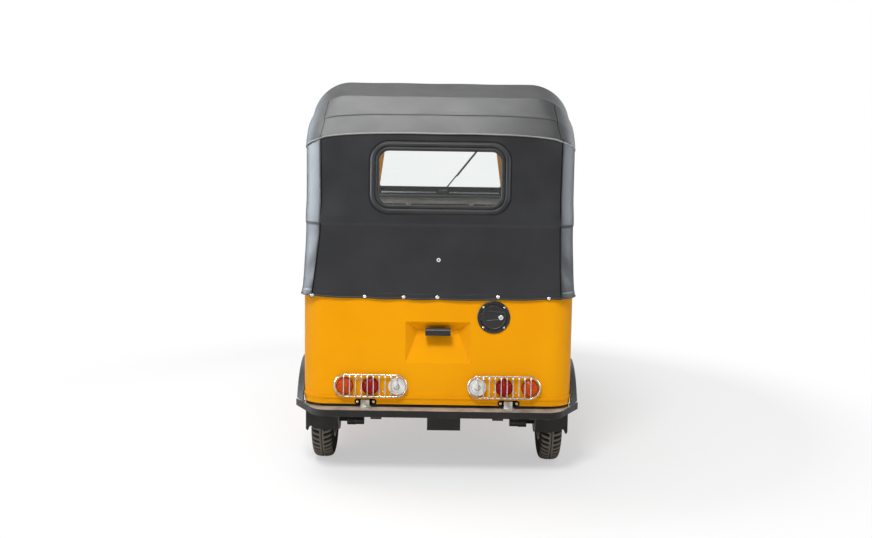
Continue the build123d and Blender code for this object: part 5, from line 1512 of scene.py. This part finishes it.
# %% Whole cushion
def plump(name, node, swell, cell, anchor, across, groove_axis, grooves):
    """One cushion in place of its solid: drawn in, blown up, pressed in along its channels and dressed."""
    low, high = (np.array(corner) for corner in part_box(node))
    pad = drawn_in(name, node, low, high, swell, cell, anchor)
    moved = blow_up(pad, low, high, swell)
    press_channels(pad, low, high, anchor, across, groove_axis, grooves)
    pad.data.polygons.foreach_set("use_smooth", np.ones(len(pad.data.polygons), bool))
    pad.data.materials.clear()
    pad.data.materials.append(finishes["seat_vinyl"])
    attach(pad, "chassis")
    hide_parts(node)
    print(name, len(pad.data.polygons), "faces, moved up to", round(moved, 4))


# %% Cushions
seat_anchor, back_anchor = np.array([0, 0, -1]), np.array([0, -1, 0])
seats = [
    # name, CAD node, swell, cell, side that rests, axis pressed in, axis of the grooves' row, their distance
    ("bench_seat_pad", "bench_cushion", 0.016, 0.011, seat_anchor, 2, 0, 0.139),
    ("bench_back_pad", "bench_backrest", 0.014, 0.010, back_anchor, 1, 0, 0.139),
    ("driver_seat_pad", "driver_cushion", 0.012, 0.008, seat_anchor, 2, 0, 0.090),
    ("driver_back_pad", "driver_backrest", 0.011, 0.008, back_anchor, 1, 0, 0.086),
]
for seat in seats:
    plump(*seat)

# %% [markdown]
# ## Driver's controls
# Rubber grips with rings cover the ends of the handlebar, and a hand lever stands in front of each. The
# grip's radius is a wave along its length, and the lever is a tapered rod on a bent path. Both turn with
# the steering.

# %% Grips and levers
bar_inner, bar_outer = np.array([0.1600, 0.6616, 1.0480]), np.array([0.3000, 0.6024, 1.0204])
grip_share = np.linspace(0.12, 0.985, 90)
grip_line = bar_inner + (bar_outer - bar_inner) * grip_share[:, None]
grip_radius = 0.0158 + 0.0011 * np.cos(grip_share * 2 * pi * 17) + 0.003 * smoothstep(grip_share, 0.20, 0.15)
lever_line = softened([
    bar_inner + (0.004, 0.030, 0.004), bar_inner + (0.020, 0.052, 0.002), bar_inner + (0.060, 0.046, -0.008),
    bar_outer + (-0.010, 0.044, -0.004), bar_outer + (0.002, 0.048, -0.006),
], 3)
lever_share = np.linspace(0.0, 1.0, len(lever_line))
lever_radius = np.interp(lever_share, (0.0, 0.1, 0.8, 0.93, 1.0), (0.007, 0.006, 0.0042, 0.007, 0.006))
both_hands = np.array([[1.0, 1.0, 1.0], [-1.0, 1.0, 1.0]])
upwards = (0.0, 0.0, 1.0)
grips = [tube(grip_line * hand, grip_radius, side=upwards, sides=20) for hand in both_hands]
piece("hand_grips", grips, finishes["rubber"], "steering")
levers = [tube(lever_line * hand, lever_radius, side=upwards, sides=12) for hand in both_hands]
piece("hand_levers", levers, finishes["bright_wire"], "steering")

# %% [markdown]
# ## Mirror glass, floor mat and wheel nuts
# The mirrors' glass is a slightly domed plate in the rear face of each housing. The floor has a ribbed
# rubber mat, whose height is a rounded wave across its width, and which narrows with the floor. Five nuts
# hold every wheel, and a cap closes its hub.

# %% Mirror glass
mirror_x, mirror_z = 0.5517, 1.3031
glass_ring = rounded_rectangle(0.0415, 0.0585, 0.016, 72)
glass_steps = np.array([
    # share of the outline, place along y
    (0.0, 0.8626), (1.0, 0.8626), (1.0, 0.8612), (0.98, 0.8604), (0.75, 0.8597), (0.4, 0.8592), (0.0, 0.8590),
])[:, None]
glass_share, glass_y = glass_steps[..., 0], glass_steps[..., 1]
glass_rows = np.stack(np.broadcast_arrays(
    glass_ring[:, 0] * glass_share + mirror_x, glass_y, glass_ring[:, 1] * glass_share + mirror_z
), -1)
piece(
    "mirror_glass", [grid(glass_rows * (s, 1.0, 1.0), wrap_v=True) for s in (-1.0, 1.0)],
    finishes["chrome"],
)

# %% Floor mat
mat_foot, mat_half, mat_thick, rib_rise, rib_pitch = 0.3357, 0.52, 0.0030, 0.0012, 0.020
taper_y, taper_half, mat_margin = (0.15, 0.72), (0.612, 0.448), 0.035
rib_x = np.linspace(-mat_half, mat_half, 417)
mat_lift = mat_foot + mat_thick + rib_rise * np.clip(np.sin(rib_x * 2 * pi / rib_pitch) * 1.6, -1.0, 1.0)
mat_lift[[0, -1]] = mat_foot
mat_spans = [(-0.585, 0.118), (0.500, 0.690)]
mats = []
for mat_start, mat_end in mat_spans:
    mat_along = np.linspace(mat_start, mat_end, 12)[:, None]
    floor_half = np.interp(mat_along, taper_y, taper_half) - mat_margin
    mat_across = rib_x[None] * np.minimum(1.0, floor_half / mat_half)
    upper = np.stack(np.broadcast_arrays(mat_across, mat_along, mat_lift[None]), -1)
    under = np.stack(np.broadcast_arrays(mat_across, mat_along, mat_foot), -1)
    mats.append(grid(np.concatenate([upper, under[::-1]]), wrap_u=True))
piece("floor_mat", mats, finishes["rubber"])

# %% Wheel nuts and caps
nut = [(0.0, 0.0110), (0.0066, 0.0110), (0.0082, 0.0095), (0.0082, 0.0), (0.0, 0.0)]
cap = [(0.0, 0.0090), (0.012, 0.0086), (0.022, 0.0062), (0.0270, 0.0020), (0.0275, 0.0), (0.0, 0.0)]
nut_turn = np.linspace(0.0, 2 * pi, 5, endpoint=False) + 0.3
wheels = [
    # name, body, outward direction, face of the disc, face of the hub, axle along y
    ("front", "front_wheel", 1.0, 0.0182, 0.0342, front_axle_y),
    ("rear_left", "rear_left_wheel", -1.0, -0.5562, -0.5722, rear_axle_y),
    ("rear_right", "rear_right_wheel", 1.0, 0.5562, 0.5722, rear_axle_y),
]
nut_circle = 0.056
for label, body, out, disc_place, hub_place, axle_y in wheels:
    nut_y, nut_z = axle_y + nut_circle * np.cos(nut_turn), axle_z + nut_circle * np.sin(nut_turn)
    places = np.stack([np.full(5, disc_place), nut_y, nut_z], -1)
    studs = repeated(turned(nut, (0.0, 0.0, 0.0), axis=(out, 0, 0), around=6), places)
    hub_cap = turned(cap, (hub_place, axle_y, axle_z), axis=(out, 0, 0), around=40)
    piece(f"{label}_nuts", [studs, hub_cap], finishes["bare_steel"], body, sharp=35)

# %% [markdown]
# ## Floor, backdrop and light
# The photograph is a cut-out on white. A pale floor keeps the vehicle's soft shadow near it and turns
# white further out, and the world is white where the camera sees it, straight or through glass. The
# light on the vehicle is a soft sky with six panels: a key from above and behind the camera, which casts
# the short shadows below the hem and the plate lamp, one overhead that the sloping cover mirrors, and four
# at the sides for the bright corners of the cloth. The side panels only show in glossy faces, so they don't
# wash out the paint.

# %% Floor
floor_mesh = bpy.data.meshes.new("studio_floor")
floor_line = np.linspace(-30.0, 30.0, 3)
floor_rows = np.stack(np.broadcast_arrays(floor_line[:, None], floor_line[None], 0.0), -1)
floor_points, floor_quads = grid(floor_rows)
floor_mesh.from_pydata(floor_points.tolist(), [], floor_quads.tolist())
floor = bpy.data.objects.new("studio_floor", floor_mesh)
bpy.context.scene.collection.objects.link(floor)
floor_look = bpy.data.materials.new("studio_floor")
floor_look.use_nodes = True
floor_tree = floor_look.node_tree
floor_shader = floor_tree.nodes["Principled BSDF"]
floor_shader.inputs["Base Color"].default_value = (0.86, 0.86, 0.86, 1.0)
floor_shader.inputs["Roughness"].default_value = 0.9
floor_shader.inputs["Specular IOR Level"].default_value = 0.0
floor_place = put(floor_tree, "ShaderNodeTexCoord").outputs["Object"]
from_vehicle = put(floor_tree, "ShaderNodeVectorMath", {0: floor_place}, operation="LENGTH").outputs["Value"]
far_floor = put(
    floor_tree, "ShaderNodeMapRange", {"Value": from_vehicle, "From Min": 1.2, "From Max": 2.8},
    interpolation_type="SMOOTHSTEP",
).outputs["Result"]
white = put(floor_tree, "ShaderNodeEmission", {"Color": (1.0, 1.0, 1.0, 1.0), "Strength": 1.0})
floor_rays = put(floor_tree, "ShaderNodeLightPath").outputs["Is Camera Ray"]
lifted = put(floor_tree, "ShaderNodeMath", {0: far_floor, 1: 0.5}, operation="MAXIMUM").outputs[0]
white_share = put(floor_tree, "ShaderNodeMath", {0: lifted, 1: floor_rays}, operation="MULTIPLY").outputs[0]
floor_mix = put(
    floor_tree, "ShaderNodeMixShader", {0: white_share, 1: floor_shader.outputs[0], 2: white.outputs[0]}
)
floor_tree.links.new(floor_mix.outputs[0], floor_tree.nodes["Material Output"].inputs["Surface"])
floor_mesh.materials.append(floor_look)
print("floor reaches", floor_line[-1], "m each way")

# %% Sky
sky = bpy.data.worlds.new("studio_sky")
bpy.context.scene.world = sky
sky.use_nodes = True
sky_tree = sky.node_tree
sky_light = sky_tree.nodes["Background"]
sky_light.inputs["Color"].default_value = (0.97, 0.985, 1.0, 1.0)
sky_light.inputs["Strength"].default_value = 0.47
sky_white = put(sky_tree, "ShaderNodeBackground", {"Color": (1.0, 1.0, 1.0, 1.0), "Strength": 1.0})
rays = put(sky_tree, "ShaderNodeLightPath").outputs
seen = put(
    sky_tree, "ShaderNodeMath", {0: rays["Is Camera Ray"], 1: rays["Is Transmission Ray"]},
    operation="MAXIMUM",
)
sky_mix = put(
    sky_tree, "ShaderNodeMixShader",
    {0: seen.outputs[0], 1: sky_light.outputs[0], 2: sky_white.outputs[0]},
)
sky_tree.links.new(sky_mix.outputs[0], sky_tree.nodes["World Output"].inputs["Surface"])
print("sky strength", round(sky_light.inputs["Strength"].default_value, 2))

# %% Light panels
panels = [
    # name, watts, colour, width, height, place, turn about x and about z in degrees, lights matt faces
    ("overhead_panel", 95.0, (1.0, 1.0, 1.0), 3.4, 1.6, (-1.1, 0.0, 4.2), 0.0, 0.0, True),
    ("key_panel", 264.0, (1.0, 1.0, 1.0), 1.6, 1.6, (-0.9, -5.0, 5.6), 42.0, -10.5, True),
    ("left_panel", 470.0, (0.82, 0.91, 1.0), 4.1, 2.0, (-4.4, -1.45, 1.95), 90.0, -90.0, False),
    ("right_panel", 165.0, (0.86, 0.93, 1.0), 4.1, 2.0, (4.4, -1.45, 1.85), 90.0, 90.0, False),
    ("far_left_panel", 55.0, (0.80, 0.90, 1.0), 3.0, 2.0, (-4.0, 2.9, 3.2), 72.0, -135.0, False),
    ("far_right_panel", 34.0, (0.86, 0.93, 1.0), 3.0, 2.0, (4.0, 2.9, 3.2), 72.0, 135.0, False),
]
for label, power, colour, wide, tall, place, about_x, about_z, matt in panels:
    lamp_data = bpy.data.lights.new(label, "AREA")
    lamp_data.color = colour
    lamp_data.shape = "RECTANGLE"
    lamp_data.size, lamp_data.size_y, lamp_data.energy = wide, tall, power
    panel = bpy.data.objects.new(label, lamp_data)
    bpy.context.scene.collection.objects.link(panel)
    panel.visible_diffuse = matt
    panel.matrix_world = (
        Matrix.Translation(place)
        @ Matrix.Rotation(radians(about_z), 4, "Z")
        @ Matrix.Rotation(radians(about_x), 4, "X")
    )
print("lights", [label for label, *_ in panels])
